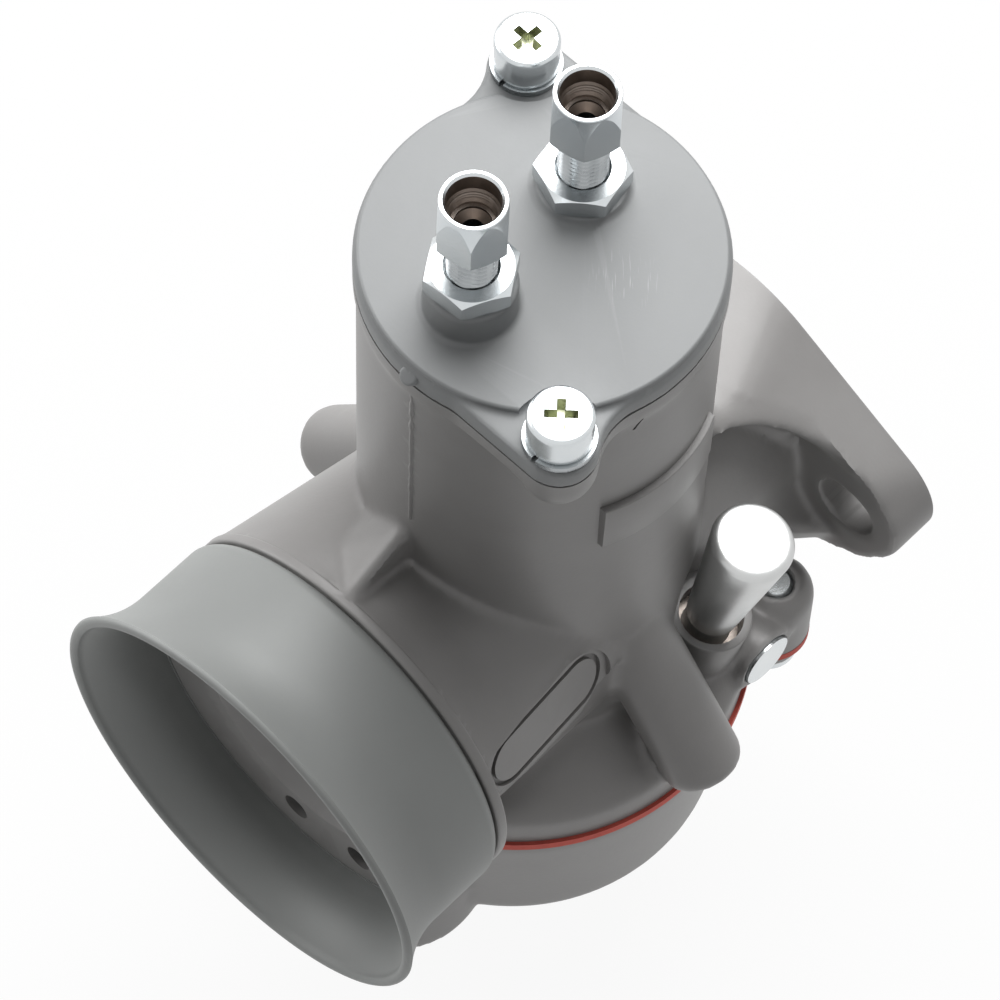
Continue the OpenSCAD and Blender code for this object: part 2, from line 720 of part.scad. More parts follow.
// A locknut standing on z = 0.
module locknut() {
    corner = locknut_af / 2 / cos(30);
    difference() {
        intersection() {
            hex_z(locknut_af, 0, locknut_h);
            rotate_extrude() polygon([[0, 0], [locknut_af / 2, 0], [corner + 0.1, 0.5],
                [corner + 0.1, locknut_h - 0.5], [locknut_af / 2, locknut_h], [0, locknut_h]]);
        }
        rod_z(adjuster_thread_r + run, -eps, locknut_h + eps);
    }
}

module choke_locknut() {
    color("gainsboro") in_frame() translate([choke_x, choke_y, choke_seat_z]) rotate([0, 0, 33]) locknut();
}

module throttle_locknut() {
    color("gainsboro") in_frame() translate([throttle_x, throttle_y, throttle_seat_z])
        rotate([0, 0, 10]) locknut();
}

// A cable adjuster: the locknut's seat is at z = 0.
module adjuster(below, bare) {
    head_z = locknut_h + bare;
    top_z = head_z + adjuster_head_h;
    corner = adjuster_af / 2 / cos(30);
    round_r = adjuster_af / 2 - 0.02;
    difference() {
        union() {
            rod_z(adjuster_thread_r, -below, head_z + eps);
            intersection() {
                rotate([0, 0, 41]) hex_z(adjuster_af, head_z, top_z);
                rotate_extrude() polygon([[0, head_z], [corner - 0.5, head_z], [corner + 0.1, head_z + 0.5],
                    [corner + 0.1, head_z + adjuster_hex_h], [round_r, top_z - 0.9], [round_r, top_z - 0.2],
                    [round_r - 0.2, top_z], [0, top_z]]);
            }
        }
        rod_z(cable_socket_r, top_z - cable_socket_depth, top_z + eps);
        rod_z(1.3, -below - eps, top_z);
    }
}

module choke_adjuster() {
    color("gainsboro") in_frame() translate([choke_x, choke_y, choke_seat_z])
        adjuster(choke_seat_z - joint_z - gap, choke_thread_h);
}

module throttle_adjuster() {
    color("gainsboro") in_frame() translate([throttle_x, throttle_y, throttle_seat_z])
        adjuster(throttle_seat_z - joint_z - gap, throttle_thread_h);
}

// Throttle slide, air valve and their springs

module throttle_slide() {
    well_r = slide_bore_r - 3.6;
    color("darkgray") in_frame() difference() {
        rod_z(slide_bore_r - run, slide_base_z, slide_base_z + slide_h);
        translate([0, 0, slide_floor_z]) linear_extrude(slide_h) intersection() {
            circle(r = well_r);
            translate([slot_x - 2 - 2 * well_r, -well_r]) square(2 * well_r);
        }
        translate([slot_x, -slot_half_w, slide_base_z - eps])
            cube([slide_bore_r, 2 * slot_half_w, slide_h + 2 * eps]);
        rod_z(needle_r + run, slide_base_z - eps, slide_floor_z + eps);
        translate([throttle_x, throttle_y, 0]) rod_z(1.3, slide_base_z - eps, slide_floor_z + eps);
        translate([throttle_x, throttle_y, 0]) rod_z(2.6, slide_base_z - eps, slide_base_z + 4);
        across(3 * slide_bore_r) polygon([[2, slide_base_z - eps], [slide_bore_r + 1, slide_base_z - eps],
            [slide_bore_r + 1, slide_base_z + 3.6]]);
    }
}

module throttle_spring() {
    color("lightsteelblue") in_frame() translate([spring_x, 0, 0])
        coil(spring_r, spring_wire, slide_floor_z + gap, spigot_z, 12, "throttle spring");
}

module jet_needle() {
    taper_z = slide_base_z - 9;
    tip_z = jet_boss_z - 10;
    color("gold") in_frame() rotate_extrude() polygon([[0, tip_z], [needle_r - 0.5, tip_z],
        [needle_r, taper_z], [needle_r, slide_floor_z + 3], [needle_r - 0.3, slide_floor_z + 3.3],
        [0, slide_floor_z + 3.3]]);
}

module needle_clip() {
    color("lightsteelblue") in_frame() difference() {
        rod_z(needle_r + 1.9, slide_floor_z, slide_floor_z + 0.6);
        rod_z(needle_r, slide_floor_z - eps, slide_floor_z + 1);
        translate([0, -0.7, slide_floor_z - eps]) cube([needle_r + 3, 1.4, 1]);
    }
}

module air_valve() {
    color("goldenrod") in_frame() difference() {
        intersection() {
            rod_z(slide_bore_r - gap, slide_base_z, air_valve_top_z);
            translate([slot_x + gap, -slot_half_w + gap, slide_base_z])
                cube([slide_bore_r, 2 * (slot_half_w - gap), air_valve_h]);
        }
        translate([choke_x, choke_y, 0]) rod_z(1.3, slide_base_z - eps, air_valve_top_z + eps);
        translate([choke_x, choke_y, 0]) rod_z(2.4, slide_base_z - eps, slide_base_z + 5);
    }
}

module air_valve_guide() {
    color("gold") in_frame() translate([choke_x, choke_y, 0]) difference() {
        rod_z(guide_r, air_valve_top_z + slide_lift + lift_room, joint_z - gap);
        rod_z(1.4, spigot_z - 40, joint_z);
    }
}

module air_valve_spring() {
    color("lightsteelblue") in_frame() translate([choke_x, choke_y, 0])
        coil(guide_r + 0.7, 0.8, air_valve_top_z + gap, spigot_z, 14, "air valve spring");
}

// Jets

module needle_jet() {
    color("gold") in_frame() difference() {
        rod_z(needle_jet_r, jet_boss_z - 5, -bore_r - gap);
        rod_z(needle_r + 0.2, jet_boss_z - 6, 0);
    }
}

module jet_holder() {
    color("goldenrod") in_frame() difference() {
        union() {
            rod_z(jet_thread_r, jet_boss_z - 1, jet_thread_z);
            hex_z(2 * jet_thread_r + 2, jet_boss_z - 3, jet_boss_z);
            rod_z(jet_thread_r - 0.3, jet_boss_z - 13, jet_boss_z - 2);
        }
        rod_z(needle_jet_r + run, jet_boss_z - 5, jet_thread_z + eps);
        rod_z(2 + run, jet_boss_z - 14, jet_thread_z);
        for (a = [0, 90])
            rotate([0, 0, a]) translate([0, 0, jet_boss_z - 7])
                rod_y(0.6, -2 * jet_thread_r, 2 * jet_thread_r);
    }
}

module main_jet() {
    color("gold") in_frame() difference() {
        union() {
            rod_z(2, jet_boss_z - 14, jet_boss_z - 11);
            hex_z(6, jet_boss_z - 16, jet_boss_z - 13);
        }
        rod_z(0.6, jet_boss_z - 17, jet_boss_z - 10);
    }
}

module pilot_jet() {
    color("gold") in_frame() translate([0, -13, 0]) difference() {
        union() {
            rod_z(2, recess_z - 1, recess_z + 3.6);
            hex_z(5, recess_z - 2.5, recess_z);
        }
        rod_z(0.5, recess_z - 3, recess_z + 5);
    }
}

// Float bowl and its pieces

module float_bowl() {
    base_r = bowl_r - bowl_draft;
    in_corner = bowl_corner_r - bowl_wall;
    post_half = 2.5;
    seat_hole_r = 1;
    color("silver") in_frame() difference() {
        union() {
            difference() {
                union() {
                    bowl_frame() rotate_extrude() polygon(concat([[0, bowl_base_z]],
                        arc([base_r - bowl_corner_r, bowl_base_z + bowl_corner_r], bowl_corner_r, -90, 0),
                        [[bowl_r, gasket_z - 2], [bowl_r, gasket_z], [0, gasket_z]]));
                    bowl_frame() translate([0, 0, gasket_z - bowl_lug_h]) linear_extrude(bowl_lug_h)
                        bowl_outline(bowl_in_r, lug_r - 0.5);
                    translate([inlet_c[0], inlet_c[1], inlet_base_z])
                        round_post(inlet_boss_r, inlet_boss_h, 4);
                    translate([union_c[0], union_c[1], inlet_base_z])
                        round_post(union_r + 0.5, inlet_boss_h, 4);
                    rod_z(drain_boss_r, drain_boss_z, bowl_base_z + 1);
                }
                bowl_frame() rotate_extrude() polygon(concat([[0, bowl_floor_z]],
                    arc([base_r - bowl_wall - in_corner, bowl_floor_z + in_corner], in_corner, -90, 0),
                    [[bowl_in_r, gasket_z + eps], [0, gasket_z + eps]]));
            }
            for (m = [-1, 1])
                translate([spindle_x - post_half, m * (post_y + post_t / 2) - post_t / 2, bowl_floor_z - eps])
                    cube([2 * post_half, post_t, pivot_z + 2 - bowl_floor_z]);
            translate([needle_x, 0, 0]) rod_z(3.2, bowl_floor_z - eps, seat_z);
        }
        trumpet_room();
        bowl_frame() pair() translate(lug_c) {
            rod_z(screw_r + screw_gap, gasket_z - bowl_lug_h - eps, gasket_z + eps);
            rod_z(screw_head_r + gap, gasket_z - bowl_lug_h - low_head_h - 1, gasket_z - bowl_lug_h);
        }
        rod_z(drain_thread_r + run, drain_boss_z - eps, bowl_floor_z + eps);
        translate([spindle_x, 0, pivot_z])
            rod_y(spindle_r + run / 2, -post_y - 2 * post_t, post_y + 2 * post_t);
        translate([needle_x, 0, 0]) rod_z(seat_hole_r, fuel_way_z, seat_z + eps);
        translate([needle_x, 0, fuel_way_z]) sphere(r = seat_hole_r);
        translate([needle_x, 0, fuel_way_z]) rotate([0, 0, atan2(union_c[1], union_c[0] - needle_x)])
            rod_x(seat_hole_r, 0, norm([union_c[0] - needle_x, union_c[1]]));
        translate(union_c) rod_z(union_thread_r + run, inlet_base_z - eps, inlet_base_z + 8);
    }
}

module bowl_gasket() {
    color("firebrick") in_frame() difference() {
        bowl_frame() translate([0, 0, gasket_z]) linear_extrude(gasket_t) difference() {
            bowl_outline(bowl_r + gasket_lip, lug_r);
            circle(r = bowl_in_r - 0.5);
            pair() translate(lug_c) circle(r = screw_r + gap);
        }
        trumpet_room();
    }
}

module bowl_screws() {
    color("gainsboro") in_frame() bowl_frame() pair() translate([lug_c[0], lug_c[1], gasket_z - bowl_lug_h])
        rotate([180, 0, 0]) cross_screw(low_head_h, bowl_lug_h + gasket_t + body_lug_h - 0.4);
}

module drain_plug() {
    color("gainsboro") in_frame() {
        hex_z(drain_af, drain_boss_z - 1 - drain_head_h, drain_boss_z - 1);
        rod_z(drain_thread_r, drain_boss_z - 1.5, bowl_floor_z);
    }
}

module drain_plug_washer() {
    color("tan") in_frame() difference() {
        rod_z(drain_thread_r + 2, drain_boss_z - 1, drain_boss_z);
        rod_z(drain_thread_r + gap, drain_boss_z - 2, drain_boss_z + eps);
    }
}

module fuel_union() {
    color("gainsboro") in_frame() translate([union_c[0], union_c[1], 0]) difference() {
        union() {
            rod_z(union_r, union_z, union_z + union_h);
            translate([0, 0, union_z + union_h / 2]) {
                rod_y(hose_r, -union_r - hose_len, 0);
                for (k = [0.3, 0.6, 0.9])
                    translate([0, -union_r - hose_len * k, 0]) rotate([-90, 0, 0])
                        cylinder(r1 = hose_r, r2 = hose_r + 0.5, h = 2);
            }
        }
        rod_z(union_thread_r + gap, union_z - eps, union_z + union_h + eps);
        rod_z(union_r - 2.2, union_z + 1.5, union_z + union_h + eps);
        translate([0, 0, union_z + union_h / 2]) rod_y(hose_r - 1.3, -union_r - hose_len - eps, 0);
    }
}

module fuel_union_bolt() {
    color("gainsboro") in_frame() translate([union_c[0], union_c[1], 0]) {
        hex_z(union_bolt_af, union_z - 1 - union_bolt_head_h, union_z - 1);
        rod_z(union_thread_r, union_z - 2, inlet_base_z + 7);
    }
}

module fuel_union_washers() {
    color("tan") in_frame() translate([union_c[0], union_c[1], 0]) for (z = [union_z - 1, union_z + union_h])
        difference() {
            rod_z(union_r - 1, z, z + 1);
            rod_z(union_thread_r + gap, z - eps, z + 1 + eps);
        }
}

module fuel_filter() {
    color("ivory") in_frame() translate([union_c[0], union_c[1], 0]) difference() {
        rod_z(union_r - 2.6, union_z + 1.5, union_z + union_h);
        rod_z(union_r - 3.3, union_z + 1, union_z + union_h + eps);
    }
}

module float() {
    sleeve_half = 6.4;
    cut_x = spindle_x - 5;
    color("black") in_frame() difference() {
        union() {
            difference() {
                bowl_frame() rod_z(float_r, float_z, float_top_z);
                rod_z(float_in_r, float_z - eps, float_top_z + eps);
                translate([cut_x, -float_r, float_z - eps]) cube([float_r, 2 * float_r, float_h + 1]);
            }
            for (m = [-1, 1])
                translate([cut_x - 3, m * 5 - 1.4, float_top_z - 1]) cube([8, 2.8, 4]);
            translate([spindle_x, 0, pivot_z]) rod_y(2.2, -sleeve_half, sleeve_half);
            translate([spindle_x, -2.6, pivot_z - 0.4]) cube([needle_arm + 2, 5.2, 0.8]);
        }
        translate([spindle_x, 0, pivot_z]) rod_y(spindle_r + run, -sleeve_half - 1, sleeve_half + 1);
        translate([needle_x, -1, pivot_z - 1]) cube([5, 2, 2]);
        translate([needle_x, 0, 0]) rod_z(1, pivot_z - 1, pivot_z + 1);
    }
}

module float_spindle() {
    color("lightsteelblue") in_frame() translate([spindle_x, 0, pivot_z])
        rod_y(spindle_r, -post_y - post_t - 0.1, post_y + post_t + 0.1);
}

module float_needle() {
    color("gold") in_frame() translate([needle_x, 0, 0]) rotate_extrude() polygon([[0, seat_z - 0.8],
        [0.4, seat_z - 0.8], [1.6, seat_z + 2.2], [1.6, pivot_z - 0.8], [0.6, pivot_z - 0.8],
        [0.6, pivot_z + 0.8], [1.5, pivot_z + 0.8], [1.5, pivot_z + 1.6], [0, pivot_z + 1.6]]);
}

// Tickler

module tickler_guide() {
    color("gainsboro") in_frame() tickler_frame() difference() {
        rod_z(tickler_guide_r, -tickler_guide_len, tickler_lip);
        rod_z(tickler_shank_r + run, -tickler_guide_len + 1.5, tickler_lip + eps);
        rod_z(tickler_stem_r + run, -tickler_guide_len - eps, tickler_lip);
    }
}

module tickler_button() {
    taper_z = tickler_stroke + tickler_lip + gap;
    color("gainsboro") in_frame() tickler_frame() rotate_extrude() polygon([[0, tickler_tip],
        [tickler_stem_r - 0.4, tickler_tip], [tickler_stem_r, tickler_tip + 0.4],
        [tickler_stem_r, tickler_spring_z], [tickler_shank_r, tickler_spring_z], [tickler_shank_r, taper_z],
        [tickler_shank_r + 0.2, taper_z + 0.3], [tickler_top_r, tickler_len - 1.2],
        [tickler_top_r - 0.2, tickler_len - 0.6],
        [tickler_top_r - 0.9, tickler_len], [0, tickler_len]]);
}

module tickler_spring() {
    color("lightsteelblue") in_frame() tickler_frame()
        coil(tickler_stem_r + 0.85, 0.5, -tickler_guide_len + 1.5, tickler_spring_z - 0.1, 4,
            "tickler spring");
}

module tickler_clip() {
    color("lightsteelblue") in_frame() tickler_frame() difference() {
        rod_z(tickler_stem_r + 1.1, -tickler_guide_len - 1, -tickler_guide_len - gap);
        rod_z(tickler_stem_r, -tickler_guide_len - 2, -tickler_guide_len);
        translate([0, -0.8, -tickler_guide_len - 2]) cube([5, 1.6, 3]);
    }
}

// Plugs and adjusting screws of the body

module passage_plug() {
    color("gainsboro") in_frame() translate([plug_x, 0, plug_z])
        rod_y(plug_r, plug_face_y - plug_t, plug_face_y - 0.2);
}

// An adjusting screw along its own Z: seat of the head at z = 0.
module adjusting_screw(r, inside, head_r, head_h) {
    difference() {
        union() {
            rod_z(r, -inside + 2, eps);
            translate([0, 0, -inside]) cylinder(r1 = 0.5, r2 = r, h = 2);
            rod_z(head_r, 0, head_h);
        }
        translate([-head_r - 1, -0.5, head_h - 1.4]) cube([2 * head_r + 2, 1, 2]);
    }
}

module pilot_air_screw() {
    color("gold") in_frame() air_screw_frame() translate([0, 0, gap])
        adjusting_screw(air_screw_r, air_screw_depth - 0.6, air_screw_r + 1.6, 4);
}

module pilot_air_o_ring() {
    color("black") in_frame() air_screw_frame() translate([0, 0, -1]) ring(air_screw_r + 0.55, 0.5);
}

module throttle_stop_screw() {
    color("gold") in_frame() stop_frame() translate([0, 0, stop_boss_len + gap])
        adjusting_screw(stop_screw_r, stop_boss_len + gap - 0.3, stop_screw_r + 1.8, 5);
}

module throttle_stop_o_ring() {
    color("black") in_frame() stop_frame() translate([0, 0, stop_boss_len - 1])
        ring(stop_screw_r + 0.55, 0.5);
}

module flange_o_ring() {
    color("black") translate([flange_seal_d / 2 + 0.05, 0, 0]) rotate([0, 90, 0])
        ring(flange_seal_r, flange_seal_d / 2);
}

mixing_chamber_body();
intake_trumpet();
top_cover();
cover_screws();
cover_screw_washers();
choke_locknut();
throttle_locknut();
choke_adjuster();
throttle_adjuster();
throttle_slide();
throttle_spring();
jet_needle();
needle_clip();
air_valve();
air_valve_guide();
air_valve_spring();
needle_jet();
jet_holder();
main_jet();
pilot_jet();
float_bowl();
bowl_gasket();
bowl_screws();
drain_plug();
drain_plug_washer();
fuel_union();
fuel_union_bolt();
fuel_union_washers();
fuel_filter();
float();
float_spindle();
float_needle();
tickler_guide();
tickler_button();
tickler_spring();
tickler_clip();
passage_plug();
pilot_air_screw();
pilot_air_o_ring();
throttle_stop_screw();
throttle_stop_o_ring();
flange_o_ring();
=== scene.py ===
import math
import bpy
from mathutils import Matrix, Vector, noise


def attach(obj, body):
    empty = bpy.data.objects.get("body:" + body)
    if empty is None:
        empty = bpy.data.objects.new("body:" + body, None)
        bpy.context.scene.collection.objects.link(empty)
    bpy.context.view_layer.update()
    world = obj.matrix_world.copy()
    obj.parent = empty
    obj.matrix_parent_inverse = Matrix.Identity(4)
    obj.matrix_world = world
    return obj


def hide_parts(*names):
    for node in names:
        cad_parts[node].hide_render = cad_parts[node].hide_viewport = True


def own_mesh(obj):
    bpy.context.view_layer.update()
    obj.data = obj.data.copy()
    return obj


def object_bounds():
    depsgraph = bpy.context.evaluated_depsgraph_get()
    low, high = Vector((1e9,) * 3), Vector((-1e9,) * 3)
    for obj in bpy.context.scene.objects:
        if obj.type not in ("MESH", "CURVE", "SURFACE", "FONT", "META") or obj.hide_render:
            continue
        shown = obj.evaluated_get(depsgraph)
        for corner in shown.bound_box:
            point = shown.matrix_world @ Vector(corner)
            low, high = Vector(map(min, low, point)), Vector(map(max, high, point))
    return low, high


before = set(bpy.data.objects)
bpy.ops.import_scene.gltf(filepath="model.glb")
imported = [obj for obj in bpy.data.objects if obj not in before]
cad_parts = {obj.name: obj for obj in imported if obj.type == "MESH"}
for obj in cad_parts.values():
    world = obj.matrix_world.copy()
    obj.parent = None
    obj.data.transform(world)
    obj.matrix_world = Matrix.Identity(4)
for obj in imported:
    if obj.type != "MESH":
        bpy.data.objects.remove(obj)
cad_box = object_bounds()


# Camera, floor and studio light
# A long lens looks steeply down from the intake and tickler side. The part stands on a
# white floor under one big soft lamp behind it and a weaker one at the side, with white card all round.
scene = bpy.context.scene
scene.view_settings.view_transform = "Standard"
bpy.ops.object.select_all(action="DESELECT")
bpy.ops.object.camera_add(location=(0.27878, 0.20855, 0.60399), rotation=(0.491417, -0.020668, 2.335707))
camera = bpy.context.object
camera.data.sensor_width = 36
camera.data.lens = 195.68
camera.data.clip_start = 0.01
scene.camera = camera

LOOK_AT = Vector((0.04, 0, 0.02))


def soft_lamp(name, place, size, power):
    """A round soft lamp turned to the part."""
    bpy.ops.object.light_add(type="AREA", location=place)
    lamp = bpy.context.object
    lamp.name = name
    lamp.data.shape = "DISK"
    lamp.data.size = size
    lamp.data.energy = power
    lamp.rotation_euler = (LOOK_AT - lamp.location).to_track_quat("-Z", "Y").to_euler()


soft_lamp("softbox", (-0.42, -0.26, 0.85), 0.9, 15)
soft_lamp("side_lamp", (0.25, -0.75, 0.3), 0.7, 3.5)


def seen_white(tree, lit, level):
    """White at full strength to the lens and in reflections, and a plain level of light to the rest."""
    nodes, links = tree.nodes, tree.links
    path = nodes.new("ShaderNodeLightPath")
    seen = nodes.new("ShaderNodeMath")
    seen.operation = "MAXIMUM"
    links.new(path.outputs["Is Camera Ray"], seen.inputs[0])
    links.new(path.outputs["Is Glossy Ray"], seen.inputs[1])
    shown = nodes.new("ShaderNodeMath")
    shown.operation = "MAXIMUM"
    links.new(seen.outputs[0], shown.inputs[0])
    links.new(path.outputs["Is Transmission Ray"], shown.inputs[1])
    amount = nodes.new("ShaderNodeMapRange")
    amount.inputs["To Min"].default_value = lit
    amount.inputs["To Max"].default_value = level
    links.new(shown.outputs[0], amount.inputs["Value"])
    return amount.outputs["Result"]


ROOM_LIGHT, CARD_SHOWN, FLOOR_SHOWN = 0.21, 1.0, 0.93
FLOOR_PAPER = (0.66, 0.66, 0.66, 1)
world = bpy.data.worlds.new("white_card")
scene.world = world
world.use_nodes = True
card = world.node_tree.nodes["Background"]
card.inputs["Color"].default_value = (1, 1, 1, 1)
world.node_tree.links.new(seen_white(world.node_tree, ROOM_LIGHT, CARD_SHOWN), card.inputs["Strength"])

bpy.ops.mesh.primitive_plane_add(size=6, location=(0.04, 0, cad_box[0].z - 0.0004))
floor = bpy.context.object
floor.name = "floor"
floor_white = bpy.data.materials.new("floor_white")
floor_white.use_nodes = True
tree = floor_white.node_tree
tree.nodes.clear()
paper = tree.nodes.new("ShaderNodeBsdfDiffuse")
paper.inputs["Color"].default_value = FLOOR_PAPER
glow = tree.nodes.new("ShaderNodeEmission")
either = tree.nodes.new("ShaderNodeMixShader")
tree.links.new(seen_white(tree, 0.0, FLOOR_SHOWN), either.inputs["Fac"])
tree.links.new(paper.outputs[0], either.inputs[1])
tree.links.new(glow.outputs[0], either.inputs[2])
tree.links.new(either.outputs[0], tree.nodes.new("ShaderNodeOutputMaterial").inputs["Surface"])
floor.data.materials.append(floor_white)


# Mixing chamber body
# One zinc-alloy die casting, tumbled to a satin grey: the skin is cast first with its fillets, and
# then the joints, bores and holes are machined into it.
MM = 0.001


def shift(x, y, z):
    """A move in millimetres."""
    return Matrix.Translation((x * MM, y * MM, z * MM))


def spun(degrees, axis):
    """A turn about one axis."""
    return Matrix.Rotation(math.radians(degrees), 4, axis)


# Sizes are in millimetres from the point where the bore's axis meets the chamber's.
FLANGE_FACE, COVER_FACE, BOWL_FACE, ROOM = -38.5, 67.4, -22.2, 50
CHAMBER_R, SLIDE_BORE_R, BORE_R = 21.4, 17, 13.5
BOWL_X = 1.6
TAPPED_R, PILOT_R = 2.35, 2.05
CHAMBER = shift(-FLANGE_FACE, 0, 0)
ALONG_BORE = CHAMBER @ spun(90, "Y")
TICKLER = CHAMBER @ spun(115, "Z") @ shift(23.8, 0, -8.5) @ spun(10.6, "Y")
STOP_SCREW = CHAMBER @ shift(-12, -12.842, -10) @ spun(55, "X")
AIR_SCREW = CHAMBER @ shift(-15, -28.8, -15.5) @ spun(90, "X")
PLUG = CHAMBER @ shift(-15, 28.77, -15.5) @ spun(-90, "X")
PAD = CHAMBER @ spun(14, "X") @ shift(19.56, 22.85, 2.83) @ spun(5, "Z") @ spun(-90, "X")


def alone(obj):
    """Only this piece is selected and active."""
    bpy.ops.object.select_all(action="DESELECT")
    obj.select_set(True)
    bpy.context.view_layer.objects.active = obj


def blank_from(node, name):
    """A copy of a solid with its loose triangles merged."""
    obj = bpy.data.objects.new(name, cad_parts[node].data.copy())
    scene.collection.objects.link(obj)
    obj.data.materials.clear()
    alone(obj)
    bpy.ops.mesh.customdata_custom_splitnormals_clear()
    bpy.ops.object.mode_set(mode="EDIT")
    bpy.ops.mesh.select_all(action="SELECT")
    bpy.ops.mesh.remove_doubles(threshold=0.002 * MM)
    bpy.ops.mesh.select_all(action="DESELECT")
    bpy.ops.object.mode_set(mode="OBJECT")
    return obj


def grow(obj, way, level, by):
    """Draws out the flat faces that look along way at that level, as stock for machining."""
    way = Vector(way)
    bpy.context.tool_settings.mesh_select_mode = (False, False, True)
    for face in obj.data.polygons:
        face.select = face.normal.dot(way) > 0.999 and abs(face.center.dot(way) - level * MM) < 0.03 * MM
    bpy.ops.object.mode_set(mode="EDIT")
    bpy.ops.mesh.extrude_region_move(TRANSFORM_OT_translate={"value": way * by * MM})
    bpy.ops.mesh.select_all(action="DESELECT")
    bpy.ops.object.mode_set(mode="OBJECT")


def apply(obj, kind, **values):
    """Adds a modifier with these values and applies it."""
    alone(obj)
    step = obj.modifiers.new(kind.lower(), kind)
    for key, value in values.items():
        setattr(step, key, value)
    bpy.ops.object.modifier_apply(modifier=step.name)


def cast(obj, grain, rounds):
    """Melts a blank into one skin with soft fillets."""
    apply(obj, "REMESH", mode="VOXEL", voxel_size=grain * MM)
    apply(obj, "SMOOTH", factor=0.5, iterations=rounds)


def soften(obj, chosen, rounds):
    """Rubs down the part of a skin whose points, in millimetres from the chamber, are chosen."""
    alone(obj)
    bpy.context.tool_settings.mesh_select_mode = (True, False, False)
    bpy.ops.object.mode_set(mode="EDIT")
    bpy.ops.mesh.select_all(action="DESELECT")
    bpy.ops.object.mode_set(mode="OBJECT")
    back = CHAMBER.inverted()
    for v in obj.data.vertices:
        v.select = chosen(back @ v.co / MM)
    bpy.ops.object.mode_set(mode="EDIT")
    bpy.ops.mesh.vertices_smooth(factor=0.5, repeat=rounds)
    bpy.ops.mesh.select_all(action="DESELECT")
    bpy.ops.object.mode_set(mode="OBJECT")


def carve(obj, tool, operation="DIFFERENCE"):
    """Cuts a tool out of a piece, or joins or trims it with that tool, and throws the tool away."""
    apply(obj, "BOOLEAN", operation=operation, object=tool, solver="MANIFOLD")
    bpy.data.objects.remove(tool)


def settle(obj, place):
    """Puts a piece in its place, with the place in its mesh."""
    alone(obj)
    obj.matrix_world = place
    bpy.ops.object.transform_apply(location=True, rotation=True, scale=True)
    return obj


def rod(r, z0, z1, place=CHAMBER, sides=64):
    """A plain round bar along a place's own Z."""
    bpy.ops.object.select_all(action="DESELECT")
    bpy.ops.mesh.primitive_cylinder_add(vertices=sides, radius=r * MM, depth=(z1 - z0) * MM,
                                        location=(0, 0, (z0 + z1) / 2 * MM))
    bpy.ops.object.transform_apply(location=True, rotation=True, scale=True)
    return settle(bpy.context.object, place)


def block(low, high, place=CHAMBER):
    """A plain block between two corners."""
    low, high = Vector(low) * MM, Vector(high) * MM
    bpy.ops.object.select_all(action="DESELECT")
    bpy.ops.mesh.primitive_cube_add(size=1, location=(low + high) / 2)
    bpy.context.object.scale = high - low
    bpy.ops.object.transform_apply(location=True, rotation=True, scale=True)
    return settle(bpy.context.object, place)


def turned(name, profile, place=CHAMBER, sides=96, ring=False):
    """A piece turned on a lathe: a circle drawn out through the radii and heights of its profile."""
    bpy.ops.object.select_all(action="DESELECT")
    r, z = profile[0]
    bpy.ops.mesh.primitive_circle_add(vertices=sides, radius=r * MM, location=(0, 0, z * MM))
    obj = bpy.context.object
    obj.name = name
    bpy.ops.object.transform_apply(location=True, rotation=True, scale=True)
    bpy.context.tool_settings.mesh_select_mode = (False, True, False)
    bpy.ops.object.mode_set(mode="EDIT")
    bpy.ops.mesh.select_all(action="SELECT")
    if not ring:
        bpy.ops.mesh.edge_face_add()
        bpy.ops.mesh.select_all(action="SELECT")
    for next_r, next_z in profile[1:]:
        bpy.ops.mesh.extrude_edges_move(TRANSFORM_OT_translate={"value": (0, 0, (next_z - z) * MM)})
        bpy.ops.transform.resize(value=(next_r / r, next_r / r, 1), center_override=(0, 0, next_z * MM))
        r, z = next_r, next_z
    if not ring:
        bpy.ops.mesh.edge_face_add()
    bpy.ops.mesh.select_all(action="SELECT")
    bpy.ops.mesh.remove_doubles(threshold=0.0005 * MM)
    bpy.ops.mesh.normals_make_consistent(inside=False)
    bpy.ops.mesh.select_all(action="DESELECT")
    bpy.ops.object.mode_set(mode="OBJECT")
    return settle(obj, place)


def arc(r, z, bend, start, end, steps=8):
    """Points of a rounded corner in a profile."""
    turns = [math.radians(start + (end - start) * i / steps) for i in range(steps + 1)]
    return [(r + bend * math.cos(a), z + bend * math.sin(a)) for a in turns]


# The blank gets stock on its three joint faces and the neck's flare, and is melted into one skin.
STOCK = 3
FLARE_LOW = 4.6
body = blank_from("mixing_chamber_body", "cast_body")
grow(body, (0, 0, 1), COVER_FACE, STOCK)
grow(body, (0, 0, -1), -BOWL_FACE, STOCK)
grow(body, (-1, 0, 0), 0, STOCK)
flare = turned("flare", [(21.2, 0), (26, 31)], ALONG_BORE, 128)
carve(flare, block((-ROOM, -ROOM, FLARE_LOW), (ROOM, ROOM, ROOM)), "INTERSECT")
carve(body, flare, "UNION")
cast(body, 0.6, 10)

# The outlet's roof: the edge of its round pockets and its corner with the chamber are rubbed round.
POCKET_X, POCKET_Z, POCKET_R = -14.5, 0.6, 19
soften(body, lambda p: -31 < p.x < -8 and 9 < abs(p.y) < 36 and p.z > 6
       and abs(math.hypot(p.x - POCKET_X, p.z - POCKET_Z) - POCKET_R) < 2.8, 120)
soften(body, lambda p: p.x < 0 and 17 < p.z < 24 and abs(math.hypot(p.x, p.y) - CHAMBER_R) < 2, 40)

